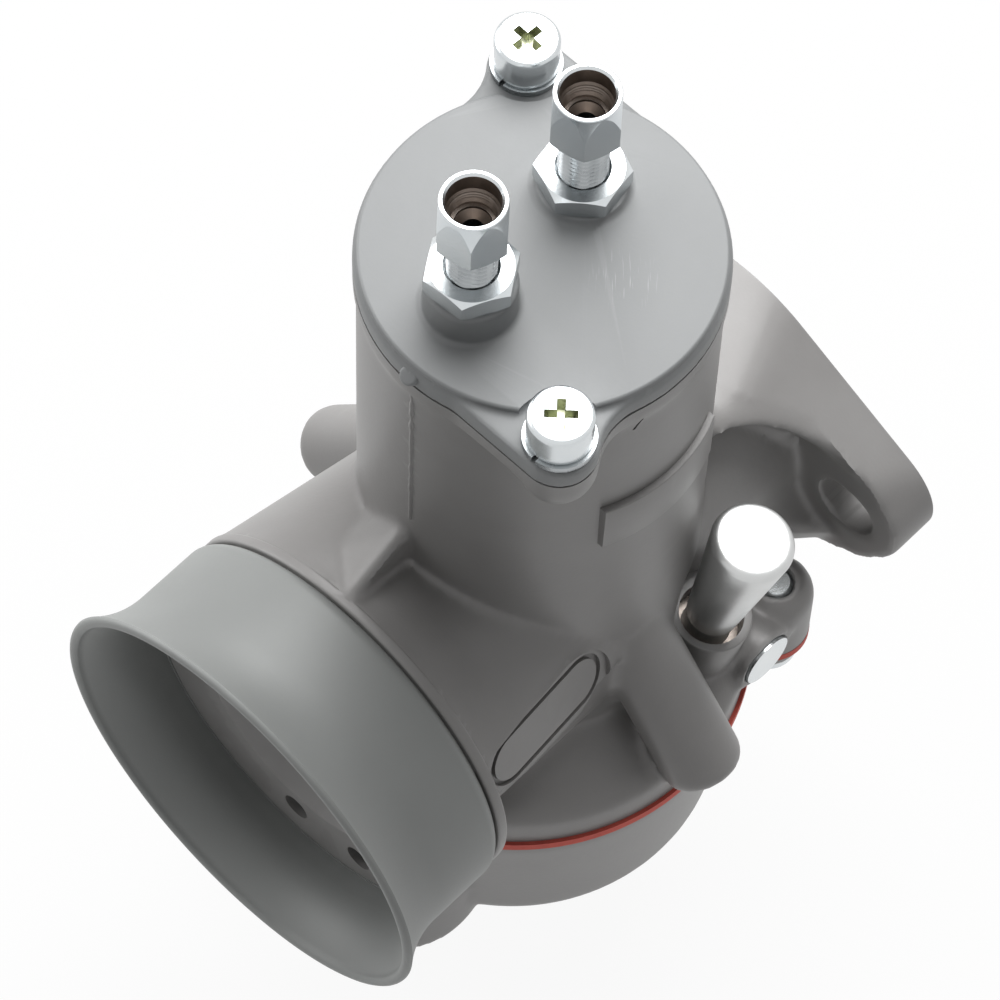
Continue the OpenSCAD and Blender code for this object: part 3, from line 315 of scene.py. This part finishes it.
# The skin round the raised plate is pressed back to the chamber, for the crisp plate that follows.
SKIN_R = 21.38 * MM
for v in body.data.vertices:
    reach = math.hypot(v.co.x - CHAMBER.translation.x, v.co.y)
    if 32 * MM < v.co.z < 52 * MM and v.co.y > 15 * MM and SKIN_R < reach < 23 * MM:
        v.co.x += (v.co.x - CHAMBER.translation.x) * (SKIN_R / reach - 1)
        v.co.y *= SKIN_R / reach

# The three joint faces are milled flat.
carve(body, block((-60, -ROOM, COVER_FACE), (60, ROOM, 90)))
carve(body, block((-60, -ROOM, -60), (60, ROOM, BOWL_FACE)))
carve(body, block((-60, -ROOM, -ROOM), (FLANGE_FACE, ROOM, ROOM)))

# The flat for the pad, the trumpet's seat and spigot, the plate, and the oval line round the pad.
SEAT_R, SEAT_FACE, SPIGOT_R, SPIGOT_END = 25.9, 32.5, 24.6, 40.5
PLATE_LOW, PLATE_HIGH = 37.4, 46.2
PAD_END = PAD @ shift(-5.6, 1.2, 0)
carve(body, block((0, -6, 0), (19, 15, 9), PAD_END))
carve(body, rod(6, 0, 9, PAD_END, 96))
seat = turned("seat", [(20.6, 30.4)] + arc(SEAT_R, 31.3, 0.4, 270, 360, 4) + arc(SEAT_R, 32.1, 0.4, 0, 90, 4)
              + [(SPIGOT_R, SEAT_FACE), (SPIGOT_R, 40.2), (24.3, SPIGOT_END), (12, SPIGOT_END), (12, 30.4),
                 (20.6, 30.4)], ALONG_BORE, 128, True)
carve(body, seat, "UNION")
plate = turned("plate", [(20, PLATE_LOW)] + arc(21.85, 37.7, 0.3, 270, 360, 3) + arc(22.05, 46, 0.2, 0, 90, 3)
               + [(20, PLATE_HIGH), (20, PLATE_LOW)], CHAMBER, 240, True)
carve(plate, block((-8.9, 15, 30), (9.5, 30, 50)), "INTERSECT")
carve(body, plate, "UNION")
LINE_IN, LINE_OUT, LINE_DEEP, LINE_HALF = 3.55, 4.3, -0.55, 6.2
outline = turned("outline", [(LINE_IN, LINE_DEEP), (LINE_OUT, LINE_DEEP), (LINE_OUT, 2), (LINE_IN, 2),
                             (LINE_IN, LINE_DEEP)], Matrix(), 64, True)
for v in outline.data.vertices:
    if abs(v.co.x) > 0.01 * MM:
        v.co.x += math.copysign(LINE_HALF * MM, v.co.x)
carve(body, settle(outline, PAD @ shift(0, 0.2, 0)))

# The line where the two halves of the die met, a little torn near the top, and a nick from use.
flash = [(0.3 + 0.16 * noise.noise((0, 7, z / 3)) * min(1, max(0.2, (z - 44) / 16)), z / 2 + 11.5)
         for z in range(46, 110)]
carve(body, turned("flash", flash, CHAMBER @ shift(21.32, 0, 0), 12), "UNION")
nick = CHAMBER @ shift(5.8, 21.1, 63.4) @ spun(-15, "Z") @ spun(-30, "Y")
carve(body, block((-0.2, -0.7, -1.1), (0.2, 1, 1.1), nick))

# The boss for the jets reaches down into the float chamber.
carve(body, rod(8, -25, -20), "UNION")

# The slide's bore, the main bore with its chamfer, the two air holes, the studs' holes and the seal's groove.
carve(body, rod(SLIDE_BORE_R, -13.5, 80, sides=160))
carve(body, turned("bore", [(BORE_R, -45), (BORE_R, 38.5), (15.6, 40.6), (15.6, 45)], ALONG_BORE, 128))
for y, z in ((-1, -18.8), (10, -17.6)):
    carve(body, rod(1.9, 23.4, 45, ALONG_BORE @ shift(-z, y, 0), 40))
for y in (-25.4, 25.4):
    carve(body, rod(4.2, -42, -28.3, ALONG_BORE @ shift(0, y, 0), 48))
carve(body, turned("groove", [(15.7, -40), (18.3, -40), (18.3, -36.4), (15.7, -36.4), (15.7, -40)],
                   ALONG_BORE, 128, True))

# The float chamber's roof, the jets' holes, and the holes of the cover's and the bowl's screws.
carve(body, turned("roof", [(10, -25.1), (27, -25.1), (27, -18.6), (10, -18.6), (10, -25.1)],
                   CHAMBER @ shift(BOWL_X, 0, 0), 128, True))
carve(body, turned("jet_bore", [(4.55, -30), (4.55, -17.1), (3.05, -17.1), (3.05, -12)]))
carve(body, rod(PILOT_R, -19, -14.6, CHAMBER @ shift(0, -13, 0), 32))
SCREW_ANGLE, LUG_ANGLE, LUG_R = math.radians(48), math.radians(136), 33.1
COVER_SCREWS = [CHAMBER @ shift(r * math.cos(SCREW_ANGLE), r * math.sin(SCREW_ANGLE), 0) for r in (24.4, -25.3)]
BOWL_SCREWS = [CHAMBER @ shift(BOWL_X + r * math.cos(LUG_ANGLE), r * math.sin(LUG_ANGLE), 0)
               for r in (LUG_R, -LUG_R)]
for place in COVER_SCREWS:
    carve(body, rod(TAPPED_R, 61, 70, place, 32))
for place in BOWL_SCREWS:
    carve(body, rod(TAPPED_R, -25, -9, place, 32))

# The tickler's boss with its collar and stepped hole, the plug's seat and the two adjusting screws' holes.
COLLAR_TOP = 4.2
carve(body, rod(6, COLLAR_TOP, 14, TICKLER))
collar = turned("collar", [(4, -3), (5.3, -3)] + arc(5.05, 3.95, 0.25, 0, 90, 3) + [(4, COLLAR_TOP), (4, -3)],
                TICKLER, 72, True)
carve(body, collar, "UNION")
carve(body, rod(4.25, -11.2, 5, TICKLER))
carve(body, rod(3.4, -19, -11, TICKLER))
carve(body, rod(3.75, -2.6, 3, PLUG))
carve(body, rod(PILOT_R, -10, 3, AIR_SCREW, 32))
carve(body, rod(3.1, -1.8, 3, AIR_SCREW, 32))
carve(body, rod(2.55, -3, 20, STOP_SCREW, 32))
carve(body, rod(3.6, 16.2, 20, STOP_SCREW, 32))


def effect(name, inputs, outputs):
    """An empty node group with these named inputs and outputs."""
    group = bpy.data.node_groups.new(name, "ShaderNodeTree")
    for label, value in inputs.items():
        group.interface.new_socket(label, in_out="INPUT", socket_type="NodeSocketFloat").default_value = value
    for label in outputs:
        group.interface.new_socket(label, in_out="OUTPUT", socket_type="NodeSocketFloat")
    return group, group.nodes.new("NodeGroupInput"), group.nodes.new("NodeGroupOutput")


def noise_of(tree, where, scale, detail):
    """A noise texture on the piece's own coordinates."""
    node = tree.nodes.new("ShaderNodeTexNoise")
    node.inputs["Detail"].default_value = detail
    tree.links.new(where, node.inputs["Vector"])
    if isinstance(scale, (int, float)):
        node.inputs["Scale"].default_value = scale
    else:
        tree.links.new(scale, node.inputs["Scale"])
    return node.outputs["Fac"]


def math_of(tree, operation, first, second):
    """One step of arithmetic, on sockets or plain numbers."""
    node = tree.nodes.new("ShaderNodeMath")
    node.operation = operation
    for slot, value in zip(node.inputs, (first, second)):
        if isinstance(value, (int, float)):
            slot.default_value = value
        else:
            tree.links.new(value, slot)
    return node.outputs[0]


# The grain of a tumbled or plated skin: slow cloudy tone, and a fine pitted height.
grain_group, grain_in, grain_out = effect("skin_grain", {"Cloud Scale": 60.0, "Grain Scale": 2200.0},
                                          ("Cloud", "Grain"))
grain_at = grain_group.nodes.new("ShaderNodeTexCoord").outputs["Object"]
for label, detail in (("Cloud", 5), ("Grain", 2)):
    speckle = noise_of(grain_group, grain_at, grain_in.outputs[label + " Scale"], detail)
    grain_group.links.new(speckle, grain_out.inputs[label])

# Wear and shade: one mask for edges that stand proud and are lightened by wear, and one for concave corners,
# darkened as painted shade.
wear_and_shade_group, wear_in, wear_and_shade_out = effect("edge_wear_and_corner_shade", {"Patch Scale": 300.0}, ("Edge", "Corner Shade"))
bend = wear_and_shade_group.nodes.new("ShaderNodeNewGeometry").outputs["Pointiness"]
wear_at = wear_and_shade_group.nodes.new("ShaderNodeTexCoord").outputs["Object"]
patch = noise_of(wear_and_shade_group, wear_at, wear_in.outputs["Patch Scale"], 3)
for label, flat, sharp in (("Edge", 0.505, 0.56), ("Corner Shade", 0.495, 0.44)):
    span = wear_and_shade_group.nodes.new("ShaderNodeMapRange")
    span.inputs["From Min"].default_value = flat
    span.inputs["From Max"].default_value = sharp
    wear_and_shade_group.links.new(bend, span.inputs["Value"])
    wear_and_shade_group.links.new(math_of(wear_and_shade_group, "MULTIPLY", span.outputs["Result"], patch), wear_and_shade_out.inputs[label])

# Handling marks: short hairlines side by side round one spot, fading out at its reach.
HAIR_TURN, HAIR_LONG, HAIR_THIN = 44, 1 / 300, 1 / 4000
HAIR_LEVEL, HAIR_CONTRAST = 0.62, 9
marks_group, marks_in, marks_out = effect("hairlines", {"Spot X": 0.0, "Spot Y": 0.0, "Reach": 0.004}, ("Mark",))
marks_at = marks_group.nodes.new("ShaderNodeTexCoord").outputs["Object"]
apart = marks_group.nodes.new("ShaderNodeSeparateXYZ")
marks_group.links.new(marks_at, apart.inputs[0])
squares = []
for axis in "XY":
    off = math_of(marks_group, "SUBTRACT", apart.outputs[axis], marks_in.outputs["Spot " + axis])
    squares.append(math_of(marks_group, "MULTIPLY", off, off))
off = math_of(marks_group, "SQRT", math_of(marks_group, "ADD", *squares), 0)
near = math_of(marks_group, "SUBTRACT", 1.0, math_of(marks_group, "DIVIDE", off, marks_in.outputs["Reach"]))
near = math_of(marks_group, "MAXIMUM", near, 0.0)
stroke = marks_group.nodes.new("ShaderNodeMapping")
stroke.vector_type = "TEXTURE"
stroke.inputs["Rotation"].default_value = (0, 0, math.radians(HAIR_TURN))
stroke.inputs["Scale"].default_value = (HAIR_LONG, HAIR_THIN, 1)
marks_group.links.new(marks_at, stroke.inputs["Vector"])
drawn = math_of(marks_group, "SUBTRACT", noise_of(marks_group, stroke.outputs[0], 1.0, 1), HAIR_LEVEL)
drawn = math_of(marks_group, "MAXIMUM", math_of(marks_group, "MULTIPLY", drawn, HAIR_CONTRAST), 0.0)
drawn = math_of(marks_group, "MULTIPLY", drawn, near)
marks_group.links.new(math_of(marks_group, "MINIMUM", drawn, 1.0), marks_out.inputs["Mark"])


MARK_LIFT, GRAIN_SHARE, CLOUD_SHARE = 2.5, 0.4, 0.6
PIT_DEPTH = 0.05 * MM


def finish_of(slot, dark, light, metallic, rough, bump, cloud=60.0, grain=2200.0, wear=0.5, corner_shade=0.5, marks=None):
    """A skin between two tones, with its grain, edges lightened by wear and painted shade darkening the concave
    corners.
    """
    material = bpy.data.materials.new(slot + "_finish")
    material.use_nodes = True
    tree = material.node_tree
    shader = tree.nodes["Principled BSDF"]
    shader.inputs["Metallic"].default_value = metallic
    skin = tree.nodes.new("ShaderNodeGroup")
    skin.node_tree = grain_group
    skin.inputs["Cloud Scale"].default_value = cloud
    skin.inputs["Grain Scale"].default_value = grain
    wear_and_shade = tree.nodes.new("ShaderNodeGroup")
    wear_and_shade.node_tree = wear_and_shade_group
    tone = tree.nodes.new("ShaderNodeMix")
    tone.data_type = "RGBA"
    tone.clamp_factor = marks is None
    tone.inputs[6].default_value = (*dark, 1)
    tone.inputs[7].default_value = (*light, 1)
    lift = math_of(tree, "MULTIPLY", wear_and_shade.outputs["Edge"], wear)
    # Concave corners are darkened by this amount: painted shade.
    painted_corner_shade = math_of(tree, "MULTIPLY", wear_and_shade.outputs["Corner Shade"], corner_shade)
    shade = math_of(tree, "SUBTRACT", math_of(tree, "ADD", skin.outputs["Cloud"], lift), painted_corner_shade)
    if marks:
        lines = tree.nodes.new("ShaderNodeGroup")
        lines.node_tree = marks_group
        for slot_in, value in zip(lines.inputs, marks):
            slot_in.default_value = value
        shade = math_of(tree, "ADD", shade, math_of(tree, "MULTIPLY", lines.outputs["Mark"], MARK_LIFT))
    tree.links.new(shade, tone.inputs[0])
    tree.links.new(tone.outputs[2], shader.inputs["Base Color"])
    gloss = tree.nodes.new("ShaderNodeMapRange")
    gloss.inputs["To Min"].default_value = rough[0]
    gloss.inputs["To Max"].default_value = rough[1]
    tree.links.new(math_of(tree, "ADD", math_of(tree, "MULTIPLY", skin.outputs["Grain"], GRAIN_SHARE),
                           math_of(tree, "MULTIPLY", skin.outputs["Cloud"], CLOUD_SHARE)), gloss.inputs["Value"])
    tree.links.new(gloss.outputs["Result"], shader.inputs["Roughness"])
    pits = tree.nodes.new("ShaderNodeBump")
    pits.inputs["Strength"].default_value = bump
    pits.inputs["Distance"].default_value = PIT_DEPTH
    tree.links.new(skin.outputs["Grain"], pits.inputs["Height"])
    tree.links.new(pits.outputs[0], shader.inputs["Normal"])
    return material


def dress(obj, material, body="carburettor", nodes=(), angle=30):
    alone(obj)
    bpy.ops.object.shade_smooth_by_angle(angle=math.radians(angle))
    obj.data.materials.clear()
    obj.data.materials.append(material)
    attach(obj, body)
    if nodes:
        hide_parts(*nodes)
    return obj


def shade_near_axis(obj, material, place, reach, z0, z1):
    """Gives the faces close to an axis a second, darker finish that paints shade on them, as inside a socket."""
    obj.data.materials.append(material)
    back = place.inverted()
    for face in obj.data.polygons:
        spot = back @ face.center / MM
        if math.hypot(spot.x, spot.y) < reach and z0 < spot.z < z1:
            face.material_index = len(obj.data.materials) - 1


def repaint(node, material):
    """A solid that keeps its shape gets its finish."""
    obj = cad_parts[node]
    obj.data.materials.clear()
    obj.data.materials.append(material)


cast_grey = finish_of("cast_grey", (0.18, 0.173, 0.169), (0.275, 0.27, 0.266), 0.08, (0.36, 0.50), 0.25)
dress(body, cast_grey, nodes=["mixing_chamber_body"])


# Intake trumpet
# A spun and cast bell of the same grey alloy, screwed on the neck's spigot against its seat ring.
BELL_R, FLARE_LENGTH, FLARE_FROM = 24.65, 8, 42.9


def sweep_of(spread):
    """Radius and angle of the arc that spreads so far over the flare's length."""
    bend = (FLARE_LENGTH ** 2 + spread ** 2) / (2 * spread)
    return bend, math.degrees(math.asin(FLARE_LENGTH / bend))


outer_bend, outer_sweep = sweep_of(2.8)
inner_bend, inner_sweep = sweep_of(3.0)
bell = turned("intake_bell", [(BELL_R, SEAT_FACE)] + arc(24.9, 34.3, 1.8, -90, 0, 8)
              + arc(26.7 + outer_bend, FLARE_FROM, outer_bend, 180, 180 - outer_sweep, 16)
              + arc(28.75, 50.9, 0.75, 0, 180, 10)
              + arc(25 + inner_bend, FLARE_FROM, inner_bend, 180 - inner_sweep, 180, 16)
              + [(25, SPIGOT_END), (BELL_R, SPIGOT_END), (BELL_R, SEAT_FACE)], ALONG_BORE, 192, True)
bell_grey = finish_of("cast_grey", (0.195, 0.201, 0.197), (0.27, 0.279, 0.273), 0.08, (0.44, 0.58), 0.2, 45)
dress(bell, bell_grey, nodes=["intake_trumpet"], angle=40)


# Throttle slide, its needle and clip, and the choke slide
# A plated alloy slide hollowed for its spring, with a brass needle held by a spring clip, and a small
# brass slide with its guide in the slot of the big one.
slide_alloy = finish_of("slide_alloy", (0.52, 0.51, 0.49), (0.66, 0.65, 0.63), 1.0, (0.26, 0.42), 0.12, 90, 3000)
brass = finish_of("brass", (0.60, 0.42, 0.17), (0.78, 0.57, 0.26), 1.0, (0.20, 0.38), 0.1, 120, 3200)
spring_steel = finish_of("spring_steel", (0.36, 0.37, 0.39), (0.52, 0.53, 0.55), 1.0, (0.22, 0.4), 0.1, 200, 3500)
repaint("throttle_slide", slide_alloy)
repaint("jet_needle", brass)
repaint("needle_clip", spring_steel)
repaint("air_valve", brass)
repaint("air_valve_guide", brass)


# Springs
# Wound from round steel wire and cut off square. Each is squeezed against its seat as its slide or
# button moves.
def spring(name, mean_r, wire, z0, z1, turns, place, node):
    """A round section screwed up into a coil."""
    bpy.ops.object.select_all(action="DESELECT")
    bpy.ops.mesh.primitive_circle_add(vertices=12, radius=wire / 2 * MM, location=(mean_r * MM, 0, 0),
                                      rotation=(math.radians(90), 0, 0))
    obj = bpy.context.object
    obj.name = name
    bpy.ops.object.transform_apply(location=True, rotation=True, scale=True)
    length = z1 - z0 - wire
    apply(obj, "SCREW", axis="Z", angle=2 * math.pi, iterations=turns, screw_offset=length * MM / turns, steps=36,
          render_steps=36)
    bpy.ops.object.mode_set(mode="EDIT")
    bpy.ops.mesh.select_all(action="SELECT")
    bpy.ops.mesh.remove_doubles(threshold=0.0005 * MM)
    bpy.ops.mesh.select_all(action="DESELECT")
    bpy.context.tool_settings.mesh_select_mode = (False, True, False)
    bpy.ops.mesh.select_non_manifold(extend=False)
    bpy.ops.mesh.edge_face_add()
    bpy.ops.mesh.select_all(action="SELECT")
    bpy.ops.mesh.normals_make_consistent(inside=False)
    bpy.ops.object.mode_set(mode="OBJECT")
    for v in obj.data.vertices:
        v.co.z += (z0 + wire / 2) * MM
    settle(obj, place)
    dress(obj, spring_steel, nodes=[node], angle=60)
    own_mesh(obj)


COVER_SEAT, SLIDE_TRAVEL, BUTTON_TRAVEL = 64.9, 27, 3.5
spring("slide_return_spring", 7.8, 1.2, -6.7, COVER_SEAT, 12, CHAMBER @ shift(-4.2, 0, 0) @ spun(180, "Z"),
       "throttle_spring")
spring("air_valve_return_spring", 2.9, 0.8, 15.1, COVER_SEAT, 14, CHAMBER @ shift(11, -0.9, 0),
       "air_valve_spring")
spring("tickler_return_spring", 2.35, 0.5, -9.5, -3.1, 4, TICKLER,
       "tickler_spring")


# Top cover
# A flat cast lid with a raised disc and two bosses for the adjusters, spigoted in the slide chamber.
cover = blank_from("top_cover", "cast_cover")
cast(cover, 0.3, 14)
disc = turned("disc", [(CHAMBER_R, 69.5)] + arc(20.95, 70.97, 0.45, 0, 90, 6), CHAMBER, 256)
for place in COVER_SCREWS:
    carve(disc, rod(5.6, 69, 73, place, 96))
carve(cover, disc, "UNION")
knob = turned("knob", [(1.25, -1.2)] + arc(0.85, 0.6, 0.4, 0, 90, 4) + [(0.3, 1.0)],
              CHAMBER @ shift(CHAMBER_R, 0, 69) @ spun(45, "Y"), 40)
carve(cover, knob, "UNION")
CHOKE_X, CHOKE_Y, THROTTLE_X, THROTTLE_Y = 11, -0.9, -9.3, -2.7
for x, y in ((CHOKE_X, CHOKE_Y), (THROTTLE_X, THROTTLE_Y)):
    carve(cover, rod(3.1, 60, 90, CHAMBER @ shift(x, y, 0), 40))
for place in COVER_SCREWS:
    carve(cover, rod(TAPPED_R, 60, 90, place, 32))
cover_grey = finish_of("cast_grey", (0.185, 0.191, 0.193), (0.25, 0.257, 0.26), 0.08, (0.46, 0.60), 0.15,
                       marks=(34.9 * MM, 9.4 * MM, 4.6 * MM))
dress(cover, cover_grey, nodes=["top_cover"])


# Cover screws and spring washers
# Plated cheese-head screws with a cross recess, each on a split washer.
HEAD_R, SHANK_R, CROSS_DEEP = 3.9, 2.2, 1.6


def cross_screw(name, head_h, thread_len, turn, place):
    """A turned head with a crisp edge, a cross punched in it and a plain shank."""
    screw = turned(name, [(3.6, 0), (HEAD_R, 0.3), (HEAD_R, head_h - 0.9)] + arc(3.3, head_h - 0.6, 0.6, 0, 90, 6)
                   + [(1.5, head_h)], Matrix(), 96)
    shank = turned("shank", [(1.8, -thread_len), (SHANK_R, -thread_len + 0.5), (SHANK_R, 0.5)], Matrix(), 32)
    carve(screw, shank, "UNION")
    for quarter in (0, 90):
        punch = block((-2.3, -0.6, head_h - CROSS_DEEP), (2.3, 0.6, head_h + 1), Matrix())
        bpy.ops.object.mode_set(mode="EDIT")
        bpy.ops.mesh.select_all(action="DESELECT")
        bpy.ops.object.mode_set(mode="OBJECT")
        for face in punch.data.polygons:
            face.select = face.normal.z < -0.9
        bpy.context.tool_settings.mesh_select_mode = (False, False, True)
        bpy.ops.object.mode_set(mode="EDIT")
        bpy.ops.transform.resize(value=(0.6, 0.7, 1), center_override=(0, 0, (head_h - CROSS_DEEP) * MM))
        bpy.ops.object.mode_set(mode="OBJECT")
        carve(screw, settle(punch, spun(quarter, "Z")))
    return settle(screw, place @ spun(turn, "Z"))


def joined(name, pieces):
    """Like pieces that share one node become one piece."""
    bpy.ops.object.select_all(action="DESELECT")
    for piece in pieces:
        piece.select_set(True)
    bpy.context.view_layer.objects.active = pieces[0]
    bpy.ops.object.join()
    pieces[0].name = name
    return pieces[0]


zinc_plate = finish_of("zinc_plate", (0.54, 0.58, 0.61), (0.68, 0.705, 0.71), 1.0, (0.16, 0.30), 0.1, 110, 2600)
# A darker copy of the zinc plate for the threads and for the washers under the screw heads: painted shade.
zinc_painted_shade = finish_of("zinc_plate", (0.20, 0.215, 0.225), (0.42, 0.44, 0.45), 1.0, (0.20, 0.36), 0.2, 240, 2600)
# A darker, greenish copy of the zinc plate for the faces inside the cross recesses: painted shade.
zinc_recess_shade = finish_of("zinc_plate", (0.36, 0.38, 0.27), (0.56, 0.58, 0.44), 1.0, (0.28, 0.44), 0.2, 400, 2600)
screws = joined("cover_fixing_screws", [
    cross_screw("cover_screw", 5, 9.5, turn, place @ shift(0, 0, 71.3))
    for place, turn in zip(COVER_SCREWS, (42, 87))])
dress(screws, zinc_plate, nodes=["cover_screws"])
for place in COVER_SCREWS:
    # The cover screws' cross recesses take the darker copy: painted shade.
    shade_near_axis(screws, zinc_recess_shade, place, 2.6, 74.6, 76.29)
# The washers under the heads take the darker copy: painted shade.
repaint("cover_screw_washers", zinc_painted_shade)


# Cable adjusters and their locknuts
# Hollow screws turned from plated hexagon bar, with a fine thread and a socket for the cable's end cap.
NUT_H = 3.1


def hexagon(across_flats, z0, z1, turn):
    """A length of hexagon bar with a corner turned that far from X."""
    corner_r = across_flats / 2 / math.cos(math.radians(30))
    return rod(corner_r, z0, z1, spun(turn - 30, "Z"), 6)


def thread(r, depth, pitch, z0, z1):
    """A bar with a V thread cut round it."""
    steps = int((z1 - z0) / pitch * 8)
    bar = turned("thread", [(r, z0 + (z1 - z0) * i / steps) for i in range(steps + 1)], Matrix(), 64)
    for v in bar.data.vertices:
        phase = (v.co.z / MM / pitch - math.atan2(v.co.y, v.co.x) / (2 * math.pi)) % 1
        cut = 1 - depth / r * abs(2 * phase - 1)
        v.co.x *= cut
        v.co.y *= cut
    return bar


def adjuster(name, place, below, bare, body, node):
    """One adjuster, measured from its locknut's seat."""
    head = NUT_H + bare
    top = head + 8
    piece = hexagon(7.9, head, top, 41)
    piece.name = name
    carve(piece, turned("bar", [(4.0, head), (4.66, head + 0.5), (4.66, head + 3.4), (3.96, top - 0.5)]
                        + arc(3.75, top - 0.2, 0.2, 10, 90, 4), Matrix(), 128), "INTERSECT")
    carve(piece, thread(3.0, 0.4, 0.8, -below, head + 0.3), "UNION")
    socket = [(1.3, -below - 1), (1.3, top - 6.2), (2.2, top - 5.4), (2.2, top - 5.0), (2.6, top - 5.0),
              (2.6, top - 4.6)]
    for ring in range(3):
        z = top - 4.4 + 0.5 * ring
        socket += [(2.8, z), (2.95, z + 0.15), (2.95, z + 0.3)]
    socket += [(3.2, top - 2.8), (3.2, top - 0.35), (3.5, top + 0.02), (3.5, top + 1)]
    carve(piece, turned("socket", socket, Matrix(), 96))
    settle(piece, place)
    dress(piece, zinc_plate, body, [node], 12)
    # The socket's inside takes the dark brown copy of the zinc plate: painted shade.
    shade_near_axis(piece, zinc_socket_shade, place, 3.3, head, top - 0.3)
    # The thread below the hexagon takes the darker copy: painted shade.
    shade_near_axis(piece, zinc_painted_shade, place, 3.1, -below - 1, head)


def locknut(name, place, turn, node):
    """A thin nut chamfered on both sides."""
    piece = hexagon(10, 0, NUT_H, turn)
    piece.name = name
    carve(piece, turned("chamfer", [(4.9, 0), (5.85, 0.5), (5.85, 2.6), (4.9, NUT_H)], Matrix(), 96), "INTERSECT")
    carve(piece, turned("hole", [(3.4, -0.1), (3.05, 0.3), (3.05, 2.8), (3.4, 3.2)], Matrix(), 48))
    settle(piece, place)
    dress(piece, zinc_plate, nodes=[node], angle=12)


# A dark brown copy of the zinc plate for the adjusters' sockets and the tickler's guide deep in its collar: painted
# shade.
zinc_socket_shade = finish_of("zinc_plate", (0.16, 0.13, 0.11), (0.34, 0.30, 0.27), 1.0, (0.30, 0.50), 0.2, 300, 2600)
CHOKE = CHAMBER @ shift(CHOKE_X, CHOKE_Y, 76.7)
THROTTLE = CHAMBER @ shift(THROTTLE_X, THROTTLE_Y, 72.3)
adjuster("choke_cable_adjuster", CHOKE, 9.0, 6.0, "choke_adjuster", "choke_adjuster")
adjuster("throttle_cable_adjuster", THROTTLE, 4.6, 7.6, "throttle_adjuster", "throttle_adjuster")
locknut("choke_adjuster_nut", CHOKE, 33, "choke_locknut")
locknut("throttle_adjuster_nut", THROTTLE, 10, "throttle_locknut")


# Jets
# Small brass turnings under the slide, screwed in the body's middle.
for jet in ("needle_jet", "jet_holder", "main_jet", "pilot_jet"):
    repaint(jet, brass)


# Float, its spindle and its needle
# A black moulded float on a steel pin, with a brass needle hooked on its arm.
float_black = finish_of("float_black", (0.012, 0.012, 0.013), (0.03, 0.03, 0.031), 0.0, (0.32, 0.5), 0.15, 80, 1800)
repaint("float", float_black)
repaint("float_spindle", spring_steel)
repaint("float_needle", brass)


# Float bowl, gasket and bowl screws
# A cast cup drawn up on a red fibre gasket by two screws from below.
bowl = blank_from("float_bowl", "cast_bowl")
BOWL_RIM, LUG_UNDER = -23.6, -26.4
grow(bowl, (0, 0, 1), BOWL_RIM, 2)
cast(bowl, 0.6, 6)
carve(bowl, block((-60, -ROOM, BOWL_RIM), (60, ROOM, 0)))
for place in BOWL_SCREWS:
    carve(bowl, rod(TAPPED_R, -35, -20, place, 32))
dress(bowl, cast_grey, nodes=["float_bowl"])
red_gasket = finish_of("red_gasket", (0.44, 0.05, 0.036), (0.66, 0.115, 0.085), 0.0, (0.6, 0.85), 0.5, 400, 1500)
repaint("bowl_gasket", red_gasket)
screws = joined("bowl_fixing_screws", [
    cross_screw("bowl_screw", 2.4, 15.4, 20, place @ shift(0, 0, LUG_UNDER) @ spun(180, "X"))
    for place in BOWL_SCREWS])
dress(screws, zinc_plate, nodes=["bowl_screws"])
for place in BOWL_SCREWS:
    # The bowl screws' cross recesses take the darker copy: painted shade.
    shade_near_axis(screws, zinc_recess_shade, place, 2.6, -28.79, -27.1)


# Drain plug and fuel union
# A plated plug under the bowl and a banjo union on a hollow bolt, all sealed by fibre washers.
fibre = finish_of("fibre", (0.30, 0.19, 0.09), (0.46, 0.31, 0.17), 0.0, (0.6, 0.85), 0.4, 500, 1600)
nylon = finish_of("nylon", (0.62, 0.60, 0.52), (0.80, 0.78, 0.70), 0.0, (0.4, 0.6), 0.3, 300, 2400)
for node in ("drain_plug", "fuel_union", "fuel_union_bolt"):
    repaint(node, zinc_plate)
for node in ("drain_plug_washer", "fuel_union_washers"):
    repaint(node, fibre)
repaint("fuel_filter", nylon)


# Tickler
# A plated push button in a pressed guide, held by a clip on its stem.
STEM_R, BUTTON_SHANK_R, TAPER_FROM, TAPER_STEPS = 1.5, 3.2, 4.9, 6
button = turned("tickler_push_button", [(1.1, -14.243), (STEM_R, -13.843), (STEM_R, -3), (BUTTON_SHANK_R, -3),
                                        (BUTTON_SHANK_R, 4.6), (3.4, TAPER_FROM)]
                + [(3.4 + 1.95 * i / TAPER_STEPS, TAPER_FROM + 20.9 * i / TAPER_STEPS)
                   for i in range(1, TAPER_STEPS)]
                + arc(4.15, 25.8, 1.2, 5, 90, 8) + [(2, 27)], TICKLER, 96)
button_plate = finish_of("zinc_plate", (0.50, 0.51, 0.51), (0.66, 0.665, 0.66), 1.0, (0.30, 0.46), 0.3, 160, 1400)
dress(button, button_plate, "tickler", ["tickler_button"])
# The guide sits deep in the collar and takes the dark brown copy: painted shade.
repaint("tickler_guide", zinc_socket_shade)
repaint("tickler_clip", spring_steel)


# Passage plug, adjusting screws and seals
# A pressed-in bright plug, two brass screws with slots, and black rubber rings.
seal_black = finish_of("seal_black", (0.008, 0.008, 0.008), (0.02, 0.02, 0.02), 0.0, (0.45, 0.7), 0.2, 150, 2000)
repaint("passage_plug", zinc_plate)
repaint("pilot_air_screw", brass)
repaint("throttle_stop_screw", brass)
for node in ("pilot_air_o_ring", "throttle_stop_o_ring", "flange_o_ring"):
    repaint(node, seal_black)
